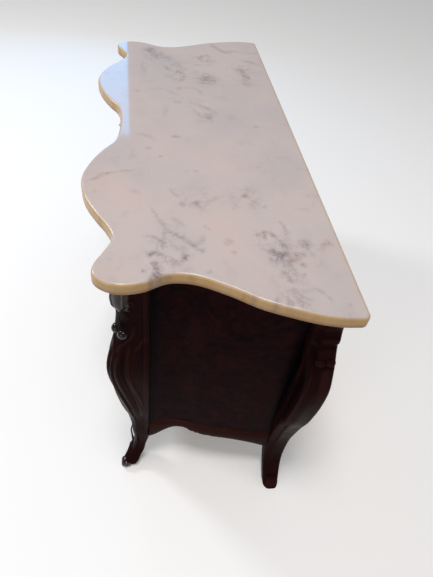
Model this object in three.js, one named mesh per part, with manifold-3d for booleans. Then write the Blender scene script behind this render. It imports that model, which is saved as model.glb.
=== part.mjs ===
// Commode chest: marble top, carved corner posts that become the legs, three drawers
// Millimetres, z up, x along the length, front towards -y, origin under the middle of the marble on the floor
import * as THREE from 'three';
import { mergeVertices } from 'three/addons/utils/BufferGeometryUtils.js';
import Module from 'manifold-3d';

const wasm = await Module();
wasm.setup();

// Overall sizes
const LENGTH = 1350;
const DEPTH = 540;
const HEIGHT = 780;
const SEAT_GAP = 0.3;          // left between two pieces that touch
const OVERRUN = 5;             // how far a cutting shape passes the face that it cuts
const WELD = 0.0005;           // points closer than this are one point
const HALF_LENGTH = LENGTH / 2;

// Marble top. Half of its plan outline, from the middle of the front round the ear to the back edge:
// x as a share of half the length, and distance in front of the back edge as a share of the depth
const MARBLE_THICK = 28;
const MARBLE_ARRIS = 8;        // radius of the rounded upper edge
const MARBLE_EASE = 2;         // chamfer of the lower edge
const MARBLE_CORNER = 14;      // radius of the two back corners in plan
const OUTLINE_SHARES = [
  [0, 0.863], [0.078, 0.867], [0.139, 0.883], [0.198, 0.926], [0.281, 0.972], [0.382, 1],
  [0.489, 0.978], [0.573, 0.928], [0.63, 0.885], [0.686, 0.86], [0.742, 0.884], [0.796, 0.915],
  [0.835, 0.916], [0.864, 0.884], [0.8805, 0.825], [0.873, 0.75], [0.8395, 0.66], [0.842, 0.575],
  [0.884, 0.457], [0.933, 0.354], [0.966, 0.25], [0.99, 0.155], [1, 0.07],
];
const BULGE_SHARE = 0.382;     // where the front bulges furthest, and where the handles sit
const EAR_SHARE = 0.8805;
const EAR_FRONT_SHARE = 0.917;
const OUTLINE_STEPS = 3;
const CORNER_STEPS = 4;
const ARRIS_STEPS = 2;
const CARCASS_HEIGHT = HEIGHT - MARBLE_THICK;

// Corner posts. A post swells by these amounts from its ankle to its knee
const FRONT_KNEE_INSET = 3;    // knee behind the ear of the marble, along x
const FRONT_KNEE_SETBACK = 9;  // and along y
const FRONT_SWELL_X = 29;
const FRONT_SWELL_Y = 41;
const FRONT_INNER_SHARE = 0.1; // of the swell, at the inner end of the front face
const FRONT_POST_WIDTH = 68;   // along x at the ankle
const FRONT_POST_DEPTH = 58;   // along y at the ankle
const FRONT_TAPER_X = 22;      // how far the inner faces draw in towards the toe
const FRONT_TAPER_Y = 25;
const FRONT_ROUND = 32;        // radius of the outer corner
const BACK_KNEE_INSET = 7;
const BACK_SWELL = 57;
const BACK_POST_WIDTH = 66;
const BACK_POST_DEPTH = 62;
const BACK_POST_SETBACK = 4;   // back face in front of the marble's back edge
const BACK_TAPER_X = 77;
const BACK_TAPER_FRONT = 10;
const BACK_TAPER_BACK = 11;
const BACK_ROUND = 24;
const FLANK_ROUND = 12;        // radius of the outer corner beside the panel or the back
const INNER_ROUND = 4;
const ROUND_STEPS = 5;
const INNER_STEPS = 1;
const ROUND_LIMIT_SHARE = 0.86;  // of half the narrower side, where the leg is slim
// Height as a share of the carcass height, share of the swell, share of the taper
const FRONT_POST_SHARES = [
  [0, 0.2, 1.6], [0.008, 0.42, 1.45], [0.022, 0.52, 1.3], [0.037, 0.38, 1.1], [0.048, 0.08, 0.95],
  [0.062, -0.2, 0.75], [0.097, -0.38, 0.45], [0.133, -0.42, 0.2], [0.16, -0.37, 0.05], [0.2, -0.28, 0.02],
  [0.269, -0.2, 0], [0.333, -0.06, 0], [0.37, 0.13, 0], [0.412, 0.31, 0], [0.483, 0.54, 0],
  [0.553, 0.74, 0], [0.59, 0.84, 0], [0.635, 0.92, 0], [0.675, 0.92, 0], [0.7, 0.86, 0],
  [0.73, 0.74, 0], [0.76, 0.57, 0], [0.79, 0.45, 0], [0.835, 0.36, 0],
  [0.88, 0.3, 0], [0.898, 0.54, 0], [0.915, 0.6, 0], [0.96, 0.46, 0], [1, 0.4, 0],
];
const BACK_POST_SHARES = [
  [0, 0.93, 1], [0.027, 0.72, 0.84], [0.069, 0.35, 0.61], [0.116, 0.09, 0.4], [0.18, 0, 0.23],
  [0.263, 0.05, 0.14], [0.347, 0.26, 0], [0.412, 0.47, 0], [0.479, 0.73, 0], [0.553, 0.92, 0],
  [0.609, 1.02, 0], [0.661, 1.06, 0], [0.711, 1.02, 0], [0.751, 0.84, 0], [0.787, 0.63, 0],
  [0.809, 0.46, 0], [0.831, 0.31, 0], [0.845, 0.24, 0], [0.858, 0.31, 0], [0.887, 0.2, 0],
  [0.904, 0.16, 0], [0.926, 0.23, 0], [0.952, 0.33, 0], [1, 0.37, 0],
];
const FRONT_SCROLL_HEIGHT_SHARE = 0.81;  // the pair of small scrolls under the neck
const BACK_SCROLL_HEIGHT_SHARE = 0.797;
const SCROLL_RADIUS = 11;
const SCROLL_SINK = 4;
const FRONT_SCROLL_ANGLES = [-77, -31];   // degrees round from the outer side
const BACK_SCROLL_SHARES = [0.05, 0.62]; // places across the face behind the corner
const TOE_RADIUS = 14;         // roll at the outer front corner of a front foot
const TOE_LENGTH = 30;
const TOE_REACH = 0;           // middle of the roll in front of the foot
const TOE_OVERHANG = 13;       // end of the roll past the sole
const SCROLL_SIDES = 8;
const SCROLL_BANDS = 6;

// Ends: panel, top rail and apron between the posts
const PANEL_THICK = 18;
const PANEL_FRONT_SETBACK = 17;    // outer face behind the ankle of the front post
const PANEL_BACK_SETBACK = 21;     // and of the back post
const PANEL_HOLLOW = 16;           // how far the serpentine draws in from a straight line
// Share of the way from the front post to the back post, share of the hollow
const HOLLOW_SHARES = [
  [0, 0], [0.08, 0.6], [0.17, 1], [0.25, 0.94], [0.38, 0.5], [0.55, 0.12], [0.77, 0.03], [1, 0],
];
const PANEL_STATIONS = 14;
const SIDE_RAIL_HEIGHT = 22;
const SIDE_RAIL_PROUD = 15;
const APRON_PROUD = 4;
const APRON_WAIST = 15;            // least height of wood under the front bottom rail, over the arch
const APRON_FOOT_HEIGHT = 122;     // floor to the lower edge beside the posts
// Share of the way from the front post to the back post, share of the rise from foot to arch
const SIDE_ARCH_SHARES = [
  [0, 0.02], [0.056, 0.08], [0.11, 0.33], [0.178, 0.7], [0.23, 0.93], [0.3, 1], [0.352, 0.74],
  [0.44, 0.6], [0.57, 0.58], [0.66, 0.56], [0.8, 0.39], [0.89, 0.24], [1, 0],
];

// Front: rails, drawers and apron follow the marble's front edge at a setback, with gentler curves
const FRONT_SETBACK = 30;          // where the marble's edge is furthest back
const FRONT_CURVE_SHARE = 0.42;    // of the marble's curves
const FRONT_STATIONS = 36;
const TOP_RAIL_HEIGHT = 28;
const RAIL_THICK = 20;
const RAIL_DEPTH = 48;
const BOTTOM_RAIL_TOP = 205;       // floor to the top of the front bottom rail
const APRON_THICK = 26;
// Share of the way from the middle to the post, share of the rise from foot to arch
const FRONT_ARCH_SHARES = [
  [0, 0.08], [0.05, 0.14], [0.11, 0.5], [0.17, 0.42], [0.24, 0.72], [0.36, 0.9], [0.52, 0.97],
  [0.66, 1], [0.76, 0.88], [0.84, 0.6], [0.91, 0.34], [0.96, 0.12], [1, 0.02],
];

// Back and bottom
const BACK_PANEL_THICK = 12;
const BACK_PANEL_SETBACK = 6;      // behind face in front of the back posts' faces
const BACK_RAIL_DEPTH = 26;
const BACK_TOP_RAIL_HEIGHT = 52;
const BACK_BOTTOM_RAIL_HEIGHT = 50;
const BOTTOM_BOARD_THICK = 9;

// Runners: a flat board with a guide strip on it
const RUNNER_WIDTH = 56;
const GUIDE_WIDTH = 14;
const GUIDE_HEIGHT = 14;
const GUIDE_CLEARANCE = 1.2;       // between a drawer side and its guide

// Drawers. Openings from the top down, as shares of the height that they share
const DRAWER_NAMES = ['top', 'middle', 'bottom'];
const DRAWER_SHARES = [0.295, 0.33, 0.375];
const DRAWER_GAP = 1.5;            // round a drawer front
const DRAWER_FRONT_THICK = 24;
const DRAWER_SIDE_THICK = 12;
const DRAWER_BACK_THICK = 11;
const DRAWER_FLOOR_THICK = 8;
const DRAWER_FLOOR_LIFT = 8;       // floor above the lower edge of the sides
const DRAWER_TOP_CLEARANCE = 8;    // sides below the top of the opening
const DRAWER_BACK_CLEARANCE = 10;  // drawer back in front of the back rails
const STOP_LENGTH = 40;
const STOP_DEPTH = 16;
const STOP_HEIGHT = 5;
const BLOCK_SIDE = 24;
const BLOCK_HEIGHT = 40;

// Handles: a cast plate with two posts on studs, and a bail that swings in the posts' heads
const POST_SPACING = 88;
const HANDLE_REACH = 10;           // pivot in front of the drawer face at the plate's middle
const PLATE_LENGTH = 128;
const PLATE_HEIGHT = 38;
const PLATE_THICK = 3;
// Share of half the plate's length, share of half its height
const PLATE_SHARES = [
  [0, 1], [0.15, 0.9], [0.32, 0.56], [0.5, 0.78], [0.68, 1], [0.86, 0.62], [1, 0.14],
];
const POST_RADIUS = 4.2;
const HEAD_RADIUS = 5.2;
const STUD_RADIUS = 2.6;
const STUD_TAIL = 9;               // stud behind the drawer front
const STUD_CLEARANCE = 0.6;
const NUT_RADIUS = 7;
const NUT_THICK = 5;
const BAIL_RADIUS = 3.4;
const BAIL_DROP = 40;
const PIN_RADIUS = 2.1;
const PIN_CLEARANCE = 0.5;
const PIN_REACH = 3.5;             // pin past the middle of the post's head
// Half of the bail from its shoulder to the middle: share of the half spacing, share of the drop
const BAIL_SHARES = [[0.74, 0], [0.66, 0.2], [0.7, 0.46], [0.62, 0.74], [0.4, 0.93], [0.2, 0.985], [0, 1]];
const BAIL_STEPS = 16;
const ROUND_SIDES = 8;
const HEX_SIDES = 6;
const HEAD_BANDS = 6;
const HANDLE_RISE_SHARE = 0.56;    // pivot above the lower edge of the drawer front

// Finishes
function finish(color, roughness, metalness = 0) {
  return new THREE.MeshStandardMaterial({ color, roughness, metalness });
}

const mahogany = finish(0x3a1a14, 0.3);
const veneer = finish(0x2c1412, 0.25);
const paleWood = finish(0xa98a5e, 0.7);
const marble = finish(0xd2c2ba, 0.15);
const brass = finish(0xb08a3e, 0.35, 1);

// y of a point that lies this far in front of the marble's back edge
const fromBack = (distance) => DEPTH / 2 - distance;

// Row that ends the span of a table in which a key lies
function rowAfter(rows, key) {
  const last = rows.length - 1;
  return key >= rows[last][0] ? last : Math.max(rows.findIndex((row) => row[0] >= key), 1);
}

// Straight-line reading of a table of pairs
function readTable(rows, key) {
  const next = rowAfter(rows, key);
  const [a, b] = [rows[next - 1], rows[next]];
  return a[1] + (b[1] - a[1]) * (key - a[0]) / (b[0] - a[0]);
}

// Smooth reading of a table of pairs
function readCurve(rows, key) {
  const next = rowAfter(rows, key);
  const slope = (i) => {
    const [a, b] = [rows[Math.max(i - 1, 0)], rows[Math.min(i + 1, rows.length - 1)]];
    return (b[1] - a[1]) / (b[0] - a[0]);
  };
  const [a, b] = [rows[next - 1], rows[next]];
  const span = b[0] - a[0];
  const t = (key - a[0]) / span;
  return (1 + 2 * t) * (1 - t) ** 2 * a[1] + t * (1 - t) ** 2 * span * slope(next - 1)
    + t ** 2 * (3 - 2 * t) * b[1] + t ** 2 * (t - 1) * span * slope(next);
}

// Closed geometry from points and faces, turned so that its faces point out
function closedGeometry(points, faces) {
  const volume = faces.reduce((sum, [a, b, c]) => {
    const [p, q, r] = [points[a], points[b], points[c]];
    return sum + p[0] * (q[1] * r[2] - q[2] * r[1]) + p[1] * (q[2] * r[0] - q[0] * r[2])
      + p[2] * (q[0] * r[1] - q[1] * r[0]);
  }, 0);
  const geometry = new THREE.BufferGeometry();
  geometry.setAttribute('position', new THREE.Float32BufferAttribute(points.flat(), 3));
  geometry.setIndex((volume < 0 ? faces.map(([a, b, c]) => [a, c, b]) : faces).flat());
  return geometry;
}

// Skin over a row of rings that have the same number of points, closed by the two given caps
function skin(rings, cap) {
  const count = rings[0].length;
  const faces = [];
  for (let ring = 0; ring + 1 < rings.length; ring += 1) {
    for (let i = 0; i < count; i += 1) {
      const [a, b] = [ring * count + i, ring * count + (i + 1) % count];
      faces.push([a, b, b + count], [a, b + count, a + count]);
    }
  }
  const last = (rings.length - 1) * count;
  for (const [a, b, c] of cap) {
    faces.push([a, c, b], [last + a, last + b, last + c]);
  }
  return closedGeometry(rings.flat(), faces);
}

// Level rings of plan points, each at its own height
function levels(rings) {
  const contour = rings[0].map(([x, y]) => new THREE.Vector2(x, y));
  return skin(rings, THREE.ShapeUtils.triangulateShape(contour, []));
}

// Board through stations, each with an outer and an inner plan point and a low and a high edge
function board(stations) {
  const rings = stations.map(({ outer, inner, low, high }) => [
    [...outer, low], [...outer, high], [...inner, high], [...inner, low],
  ]);
  return skin(rings, [[0, 1, 2], [0, 2, 3]]);
}

function block(low, high) {
  const size = high.map((value, i) => value - low[i]);
  const middle = high.map((value, i) => (value + low[i]) / 2);
  return new THREE.BoxGeometry(...size).translate(...middle);
}

// Prism along y of a section drawn in x and z
function prismAlongY(section, yLow, yHigh) {
  const shape = new THREE.Shape(section.map(([x, z]) => new THREE.Vector2(x, z)));
  const prism = new THREE.ExtrudeGeometry(shape, { depth: yHigh - yLow, bevelEnabled: false });
  return prism.rotateX(Math.PI / 2).translate(0, yHigh, 0);
}

function mirrored(geometry) {
  const copy = geometry.clone().scale(-1, 1, 1);
  const index = copy.index ? Array.from(copy.index.array) : [...Array(copy.attributes.position.count).keys()];
  for (let i = 0; i < index.length; i += 3) {
    [index[i + 1], index[i + 2]] = [index[i + 2], index[i + 1]];
  }
  copy.setIndex(index);
  return copy;
}

function toSolid(geometry) {
  const bare = geometry.clone();
  bare.deleteAttribute('normal');
  bare.deleteAttribute('uv');
  const merged = mergeVertices(bare, WELD);
  return new wasm.Manifold(new wasm.Mesh({
    numProp: 3,
    vertProperties: new Float32Array(merged.attributes.position.array),
    triVerts: new Uint32Array(merged.index.array),
  }));
}

function toGeometry(solid) {
  const mesh = solid.getMesh();
  const geometry = new THREE.BufferGeometry();
  geometry.setAttribute('position', new THREE.Float32BufferAttribute(mesh.vertProperties, 3));
  geometry.setIndex(Array.from(mesh.triVerts));
  return geometry;
}

function join(pieces) {
  return toGeometry(pieces.map(toSolid).reduce((sum, solid) => sum.add(solid)));
}

function cut(piece, cutters) {
  return toGeometry(cutters.map(toSolid).reduce((rest, solid) => rest.subtract(solid), toSolid(piece)));
}

// Marble outline
function sampleHalfOutline() {
  const points = OUTLINE_SHARES.map(([x, d]) => new THREE.Vector3(x * HALF_LENGTH, d * DEPTH, 0));
  const lead = points.slice(1, 3).reverse().map((p) => new THREE.Vector3(-p.x, p.y, 0));
  const tail = new THREE.Vector3(HALF_LENGTH, MARBLE_CORNER, 0);
  const all = [...lead, ...points, tail];
  const curve = new THREE.CatmullRomCurve3(all, false, 'centripetal');
  const spans = all.length - 1;
  const samples = [];
  for (let i = lead.length * OUTLINE_STEPS; i <= spans * OUTLINE_STEPS; i += 1) {
    const p = curve.getPoint(i / (spans * OUTLINE_STEPS));
    samples.push([Math.min(p.x, HALF_LENGTH), Math.min(p.y, DEPTH)]);
  }
  for (let i = 1; i <= CORNER_STEPS; i += 1) {
    const angle = (i / CORNER_STEPS) * Math.PI / 2;
    samples.push([
      HALF_LENGTH - MARBLE_CORNER * (1 - Math.cos(angle)),
      MARBLE_CORNER * (1 - Math.sin(angle)),
    ]);
  }
  return samples;
}

const halfOutline = sampleHalfOutline();
const earStart = halfOutline.findIndex(([x], i) => i > 0 && x <= halfOutline[i - 1][0]);
const frontStretch = halfOutline.slice(0, earStart);

// Outline drawn inwards along its normals
function inset(outline, distance) {
  return outline.map((point, i) => {
    const before = outline[(i + outline.length - 1) % outline.length];
    const after = outline[(i + 1) % outline.length];
    const along = new THREE.Vector2(after[0] - before[0], after[1] - before[1]).normalize();
    return [point[0] - along.y * distance, point[1] + along.x * distance];
  });
}

function marbleTop() {
  const right = halfOutline.map(([x, d]) => [x, fromBack(d)]);
  const left = halfOutline.slice(1).reverse().map(([x, d]) => [-x, fromBack(d)]);
  const outline = [...right, ...left];
  const rings = [[MARBLE_EASE, 0], [0, MARBLE_EASE]];
  for (let i = 0; i <= ARRIS_STEPS; i += 1) {
    const angle = (i / ARRIS_STEPS) * Math.PI / 2;
    rings.push([
      MARBLE_ARRIS * (1 - Math.cos(angle)),
      MARBLE_THICK - MARBLE_ARRIS * (1 - Math.sin(angle)),
    ]);
  }
  return levels(rings.map(([distance, z]) => inset(outline, distance).map(([x, y]) => [x, y, z])));
}

// Corner posts, drawn on the right
const frontAnkleX = EAR_SHARE * HALF_LENGTH - FRONT_KNEE_INSET - FRONT_SWELL_X;
const frontAnkleDepth = EAR_FRONT_SHARE * DEPTH - FRONT_KNEE_SETBACK - FRONT_SWELL_Y;
const frontInnerX = frontAnkleX - FRONT_POST_WIDTH;
const frontPostBack = frontAnkleDepth - FRONT_POST_DEPTH;
const backAnkleX = HALF_LENGTH - BACK_KNEE_INSET - BACK_SWELL;
const backInnerX = backAnkleX - BACK_POST_WIDTH;
const backPostFront = BACK_POST_SETBACK + BACK_POST_DEPTH;
const postTop = CARCASS_HEIGHT - SEAT_GAP;

// Rectangle with round corners: the corners in order front right, back right, back left, front left.
// Its front face may slant back to yInner at the inner end
function roundedSection({ xLow, xHigh, yLow, yHigh, yInner }, z, radii) {
  const corners = [
    [xHigh, yLow, -1, 1, -90, ROUND_STEPS], [xHigh, yHigh, -1, -1, 0, ROUND_STEPS],
    [xLow, yHigh, 1, -1, 90, INNER_STEPS], [xLow, yInner, 1, 1, 180, INNER_STEPS],
  ];
  return corners.flatMap(([x, y, inX, inY, start, steps], corner) => {
    const radius = radii[corner];
    return Array.from({ length: steps + 1 }, (_, i) => {
      const angle = THREE.MathUtils.degToRad(start + (90 * i) / steps);
      return [x + radius * (inX + Math.cos(angle)), y + radius * (inY + Math.sin(angle)), z];
    });
  });
}

function frontPostSize(swell, taper) {
  return {
    xLow: frontInnerX + FRONT_TAPER_X * taper,
    xHigh: frontAnkleX + FRONT_SWELL_X * swell,
    yLow: fromBack(frontAnkleDepth + FRONT_SWELL_Y * swell),
    yInner: fromBack(frontAnkleDepth + FRONT_SWELL_Y * Math.min(swell, FRONT_INNER_SHARE * Math.max(swell, 0))),
    yHigh: fromBack(frontPostBack + FRONT_TAPER_Y * taper),
  };
}

function backPostSize(swell, taper) {
  const yLow = fromBack(backPostFront - BACK_TAPER_FRONT * taper);
  return {
    xLow: backInnerX + BACK_TAPER_X * taper,
    xHigh: backAnkleX + BACK_SWELL * swell,
    yLow,
    yInner: yLow,
    yHigh: fromBack(BACK_POST_SETBACK + BACK_TAPER_BACK * taper),
  };
}

function post(table, sizeAt, radii) {
  return levels(table.map(([height, swell, taper]) => {
    const size = sizeAt(swell, taper);
    const widest = Math.min(size.xHigh - size.xLow, size.yHigh - size.yLow) / 2;
    const fitted = radii.map((radius) => Math.min(radius, widest * ROUND_LIMIT_SHARE));
    return roundedSection(size, height * postTop, fitted);
  }));
}

function scroll(x, y, height) {
  const ball = new THREE.SphereGeometry(SCROLL_RADIUS, SCROLL_SIDES, SCROLL_BANDS).rotateX(Math.PI / 2);
  return ball.translate(x, y, height * postTop);
}

function swellAt(table, height) {
  return readTable(table.map(([key, swell]) => [key, swell]), height);
}

function toeRoll() {
  const { xHigh, yLow } = frontPostSize(FRONT_POST_SHARES[0][1], 0);
  const end = xHigh + TOE_OVERHANG;
  return rodAlongX(TOE_RADIUS, SCROLL_SIDES, end - TOE_LENGTH, end, yLow - TOE_REACH, TOE_RADIUS);
}

function frontPost() {
  const { xHigh, yLow } = frontPostSize(swellAt(FRONT_POST_SHARES, FRONT_SCROLL_HEIGHT_SHARE), 0);
  const scrolls = FRONT_SCROLL_ANGLES.map((degrees) => {
    const angle = THREE.MathUtils.degToRad(degrees);
    const reach = FRONT_ROUND - SCROLL_SINK;
    const [x, y] = [xHigh - FRONT_ROUND, yLow + FRONT_ROUND];
    return scroll(x + reach * Math.cos(angle), y + reach * Math.sin(angle), FRONT_SCROLL_HEIGHT_SHARE);
  });
  const shaft = post(FRONT_POST_SHARES, frontPostSize, [FRONT_ROUND, FLANK_ROUND, INNER_ROUND, INNER_ROUND]);
  return join([shaft, toeRoll(), ...scrolls]);
}

function backPost() {
  const { xHigh, yLow, yHigh } = backPostSize(swellAt(BACK_POST_SHARES, BACK_SCROLL_HEIGHT_SHARE), 0);
  const faceLow = yLow + BACK_ROUND;
  const faceWidth = yHigh - faceLow;
  const scrolls = BACK_SCROLL_SHARES.map((share) => {
    return scroll(xHigh - SCROLL_SINK, faceLow + share * faceWidth, BACK_SCROLL_HEIGHT_SHARE);
  });
  const shaft = post(BACK_POST_SHARES, backPostSize, [BACK_ROUND, FLANK_ROUND, INNER_ROUND, INNER_ROUND]);
  return join([shaft, ...scrolls]);
}

// Ends, drawn on the right
const panelFrontX = frontAnkleX - PANEL_FRONT_SETBACK;
const panelBackX = backAnkleX - PANEL_BACK_SETBACK;
const panelFrontDepth = frontPostBack - SEAT_GAP;
const panelBackDepth = backPostFront + SEAT_GAP;
const panelTop = CARCASS_HEIGHT - SIDE_RAIL_HEIGHT;

// Plan point of an end at a share of the way from the front post to the back post
function endPoint(share, proud) {
  const hollow = PANEL_HOLLOW * readCurve(HOLLOW_SHARES, share);
  const x = panelFrontX + (panelBackX - panelFrontX) * share - hollow + proud;
  return [x, fromBack(panelFrontDepth + (panelBackDepth - panelFrontDepth) * share)];
}

const endShares = Array.from({ length: PANEL_STATIONS + 1 }, (_, i) => i / PANEL_STATIONS);

function endBoard(proud, lowAt, high) {
  return board(endShares.map((share) => ({
    outer: endPoint(share, proud), inner: endPoint(share, -PANEL_THICK), low: lowAt(share), high,
  })));
}

const archHeight = BOTTOM_RAIL_TOP - RAIL_THICK - APRON_WAIST;

function archAt(table, share) {
  return APRON_FOOT_HEIGHT + (archHeight - APRON_FOOT_HEIGHT) * readCurve(table, share);
}

const sidePanel = () => endBoard(0, () => BOTTOM_RAIL_TOP, panelTop - SEAT_GAP);
const sideRail = () => endBoard(SIDE_RAIL_PROUD, () => panelTop, postTop);
const sideArch = (share) => archAt(SIDE_ARCH_SHARES, share);
const sideApron = () => endBoard(APRON_PROUD, sideArch, BOTTOM_RAIL_TOP - SEAT_GAP);

// Front pieces share one plan line, read at evenly spaced stations
const openingHalf = frontInnerX - SEAT_GAP;
const edgeDepths = Array.from({ length: FRONT_STATIONS + 1 }, (_, i) => {
  const x = openingHalf * ((2 * i) / FRONT_STATIONS - 1);
  return [x, readTable(frontStretch, Math.abs(x))];
});
const leastDepth = Math.min(...edgeDepths.map(([, depth]) => depth));
const gridDepths = edgeDepths.map(([x, depth]) => {
  return [x, leastDepth + FRONT_CURVE_SHARE * (depth - leastDepth) - FRONT_SETBACK];
});
const faceDepth = (x) => readTable(gridDepths, x);

// Stations between two places: the ends, the shared stations and any others asked for
function frontPlaces(low, high, others = []) {
  const inside = [...gridDepths.map(([x]) => x), ...others].filter((x) => x > low + WELD && x < high - WELD);
  const sorted = [low, ...inside, high].sort((a, b) => a - b);
  return sorted.filter((x, i) => i === 0 || x - sorted[i - 1] > WELD);
}

// Board that follows the front between two distances behind its face
function frontBoard(half, near, far, lowAt, high) {
  return board(frontPlaces(-half, half).map((x) => ({
    outer: [x, fromBack(faceDepth(x) - near)], inner: [x, fromBack(faceDepth(x) - far)], low: lowAt(x), high,
  })));
}

// Front board whose back edge is straight, at a distance in front of the marble's back edge
function shelf(half, near, backDepth, low, high) {
  return board(frontPlaces(-half, half).map((x) => ({
    outer: [x, fromBack(faceDepth(x) - near)], inner: [x, fromBack(backDepth)], low, high,
  })));
}

const zoneHigh = CARCASS_HEIGHT - TOP_RAIL_HEIGHT;
const sharedHeight = zoneHigh - BOTTOM_RAIL_TOP - RAIL_THICK * (DRAWER_NAMES.length - 1);
const openings = DRAWER_NAMES.map((name, i) => {
  const above = DRAWER_SHARES.slice(0, i).reduce((sum, share) => sum + share, 0);
  const high = zoneHigh - above * sharedHeight - RAIL_THICK * i;
  return { name, high, low: high - DRAWER_SHARES[i] * sharedHeight };
});

const railAt = (top) => frontBoard(openingHalf, 0, RAIL_DEPTH, () => top - RAIL_THICK, top);
const topRail = () => frontBoard(openingHalf, 0, RAIL_DEPTH, () => zoneHigh, postTop);
const apronTop = BOTTOM_RAIL_TOP - RAIL_THICK - SEAT_GAP;

const frontArch = (x) => archAt(FRONT_ARCH_SHARES, Math.abs(x) / openingHalf);
const frontApron = () => frontBoard(openingHalf, 0, APRON_THICK, frontArch, apronTop);

// Back and bottom
const backPanelDepth = BACK_POST_SETBACK + BACK_PANEL_SETBACK;
const backRailDepth = backPanelDepth + BACK_PANEL_THICK + SEAT_GAP;
const backRailFront = backRailDepth + BACK_RAIL_DEPTH;
const backHalf = backInnerX - SEAT_GAP;
const backBottomLow = BOTTOM_RAIL_TOP - BACK_BOTTOM_RAIL_HEIGHT;

function backBoard(nearDepth, farDepth, low, high) {
  return block([-backHalf, fromBack(farDepth), low], [backHalf, fromBack(nearDepth), high]);
}

const backPanel = () => backBoard(backPanelDepth, backPanelDepth + BACK_PANEL_THICK, backBottomLow, postTop);
const backTopLow = CARCASS_HEIGHT - BACK_TOP_RAIL_HEIGHT;
const backTopRail = () => backBoard(backRailDepth, backRailFront, backTopLow, postTop);
const backBottomRail = () => backBoard(backRailDepth, backRailFront, backBottomLow, BOTTOM_RAIL_TOP);

// Runners
const drawerHalf = openingHalf - DRAWER_GAP;
const runnerOuter = Math.min(...endShares.map((share) => endPoint(share, -PANEL_THICK)[0])) - SEAT_GAP;
const runnerInner = runnerOuter - RUNNER_WIDTH;
const guideInner = drawerHalf + GUIDE_CLEARANCE;

function runner(top) {
  const section = [
    [runnerInner, top - RAIL_THICK], [runnerOuter, top - RAIL_THICK], [runnerOuter, top],
    [guideInner + GUIDE_WIDTH, top], [guideInner + GUIDE_WIDTH, top + GUIDE_HEIGHT],
    [guideInner, top + GUIDE_HEIGHT], [guideInner, top], [runnerInner, top],
  ];
  return prismAlongY(section, fromBack(panelFrontDepth), fromBack(panelBackDepth));
}

function bottomBoard() {
  const low = BOTTOM_RAIL_TOP - (RAIL_THICK + BOTTOM_BOARD_THICK) / 2;
  const high = low + BOTTOM_BOARD_THICK;
  return shelf(runnerInner - SEAT_GAP, RAIL_DEPTH + SEAT_GAP, backRailFront + SEAT_GAP, low, high);
}

// Glue blocks on the right: under the bottom rail behind the apron, and before the back bottom rail
function blockAt(outerX, nearDepth) {
  return block(
    [outerX - BLOCK_SIDE, fromBack(nearDepth), apronTop - BLOCK_HEIGHT],
    [outerX, fromBack(nearDepth - BLOCK_SIDE), apronTop],
  );
}

function frontGlueBlock() {
  const face = Math.min(faceDepth(openingHalf), faceDepth(openingHalf - BLOCK_SIDE));
  return blockAt(openingHalf, face - APRON_THICK - SEAT_GAP);
}

const backGlueBlock = () => blockAt(backHalf, backRailFront + SEAT_GAP + BLOCK_SIDE);

// Stop behind the middle of a drawer front, on the rail below it
function drawerStop(low) {
  const near = faceDepth(0) - DRAWER_FRONT_THICK - SEAT_GAP;
  return block(
    [-STOP_LENGTH / 2, fromBack(near), low + SEAT_GAP],
    [STOP_LENGTH / 2, fromBack(near - STOP_DEPTH), low + SEAT_GAP + STOP_HEIGHT],
  );
}

// Drawers, drawn on the floor of their opening
const drawerBackDepth = backRailFront + DRAWER_BACK_CLEARANCE;
const handleX = BULGE_SHARE * HALF_LENGTH;
const studPlaces = [handleX - POST_SPACING / 2, handleX + POST_SPACING / 2];
const handleRise = (height) => DRAWER_GAP + HANDLE_RISE_SHARE * (height - 2 * DRAWER_GAP);

function rodAlongY(radius, sides, x, yLow, yHigh, z) {
  const rod = new THREE.CylinderGeometry(radius, radius, yHigh - yLow, sides);
  return rod.translate(x, (yLow + yHigh) / 2, z);
}

function rodAlongX(radius, sides, xLow, xHigh, y, z) {
  const rod = new THREE.CylinderGeometry(radius, radius, xHigh - xLow, sides);
  return rod.rotateZ(Math.PI / 2).translate((xLow + xHigh) / 2, y, z);
}

function drawerFront(height) {
  const whole = frontBoard(drawerHalf, 0, DRAWER_FRONT_THICK, () => DRAWER_GAP, height - DRAWER_GAP);
  const holes = [...studPlaces, ...studPlaces.map((x) => -x)].map((x) => {
    const yLow = fromBack(faceDepth(x) + OVERRUN);
    const yHigh = fromBack(faceDepth(x) - DRAWER_FRONT_THICK - OVERRUN);
    return rodAlongY(STUD_RADIUS + STUD_CLEARANCE, ROUND_SIDES, x, yLow, yHigh, handleRise(height));
  });
  return cut(whole, holes);
}

const sideInner = drawerHalf - DRAWER_SIDE_THICK;
const sideFaceDepth = Math.min(...frontPlaces(sideInner, drawerHalf).map(faceDepth));
const sideFrontDepth = sideFaceDepth - DRAWER_FRONT_THICK - SEAT_GAP;

function drawerSide(height) {
  return block(
    [sideInner, fromBack(sideFrontDepth), SEAT_GAP],
    [drawerHalf, fromBack(drawerBackDepth), height - DRAWER_TOP_CLEARANCE],
  );
}

function drawerBack(height) {
  return block(
    [SEAT_GAP - sideInner, fromBack(drawerBackDepth + DRAWER_BACK_THICK), SEAT_GAP],
    [sideInner - SEAT_GAP, fromBack(drawerBackDepth), height - DRAWER_TOP_CLEARANCE],
  );
}

function drawerFloor() {
  const backDepth = drawerBackDepth + DRAWER_BACK_THICK + SEAT_GAP;
  const near = DRAWER_FRONT_THICK + SEAT_GAP;
  const high = DRAWER_FLOOR_LIFT + DRAWER_FLOOR_THICK;
  return shelf(sideInner - SEAT_GAP, near, backDepth, DRAWER_FLOOR_LIFT, high);
}

// Handle plate on the right-hand bulge with its posts, studs and nuts, its pivot line at height zero
const pivotDepth = faceDepth(handleX) + HANDLE_REACH;

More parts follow.
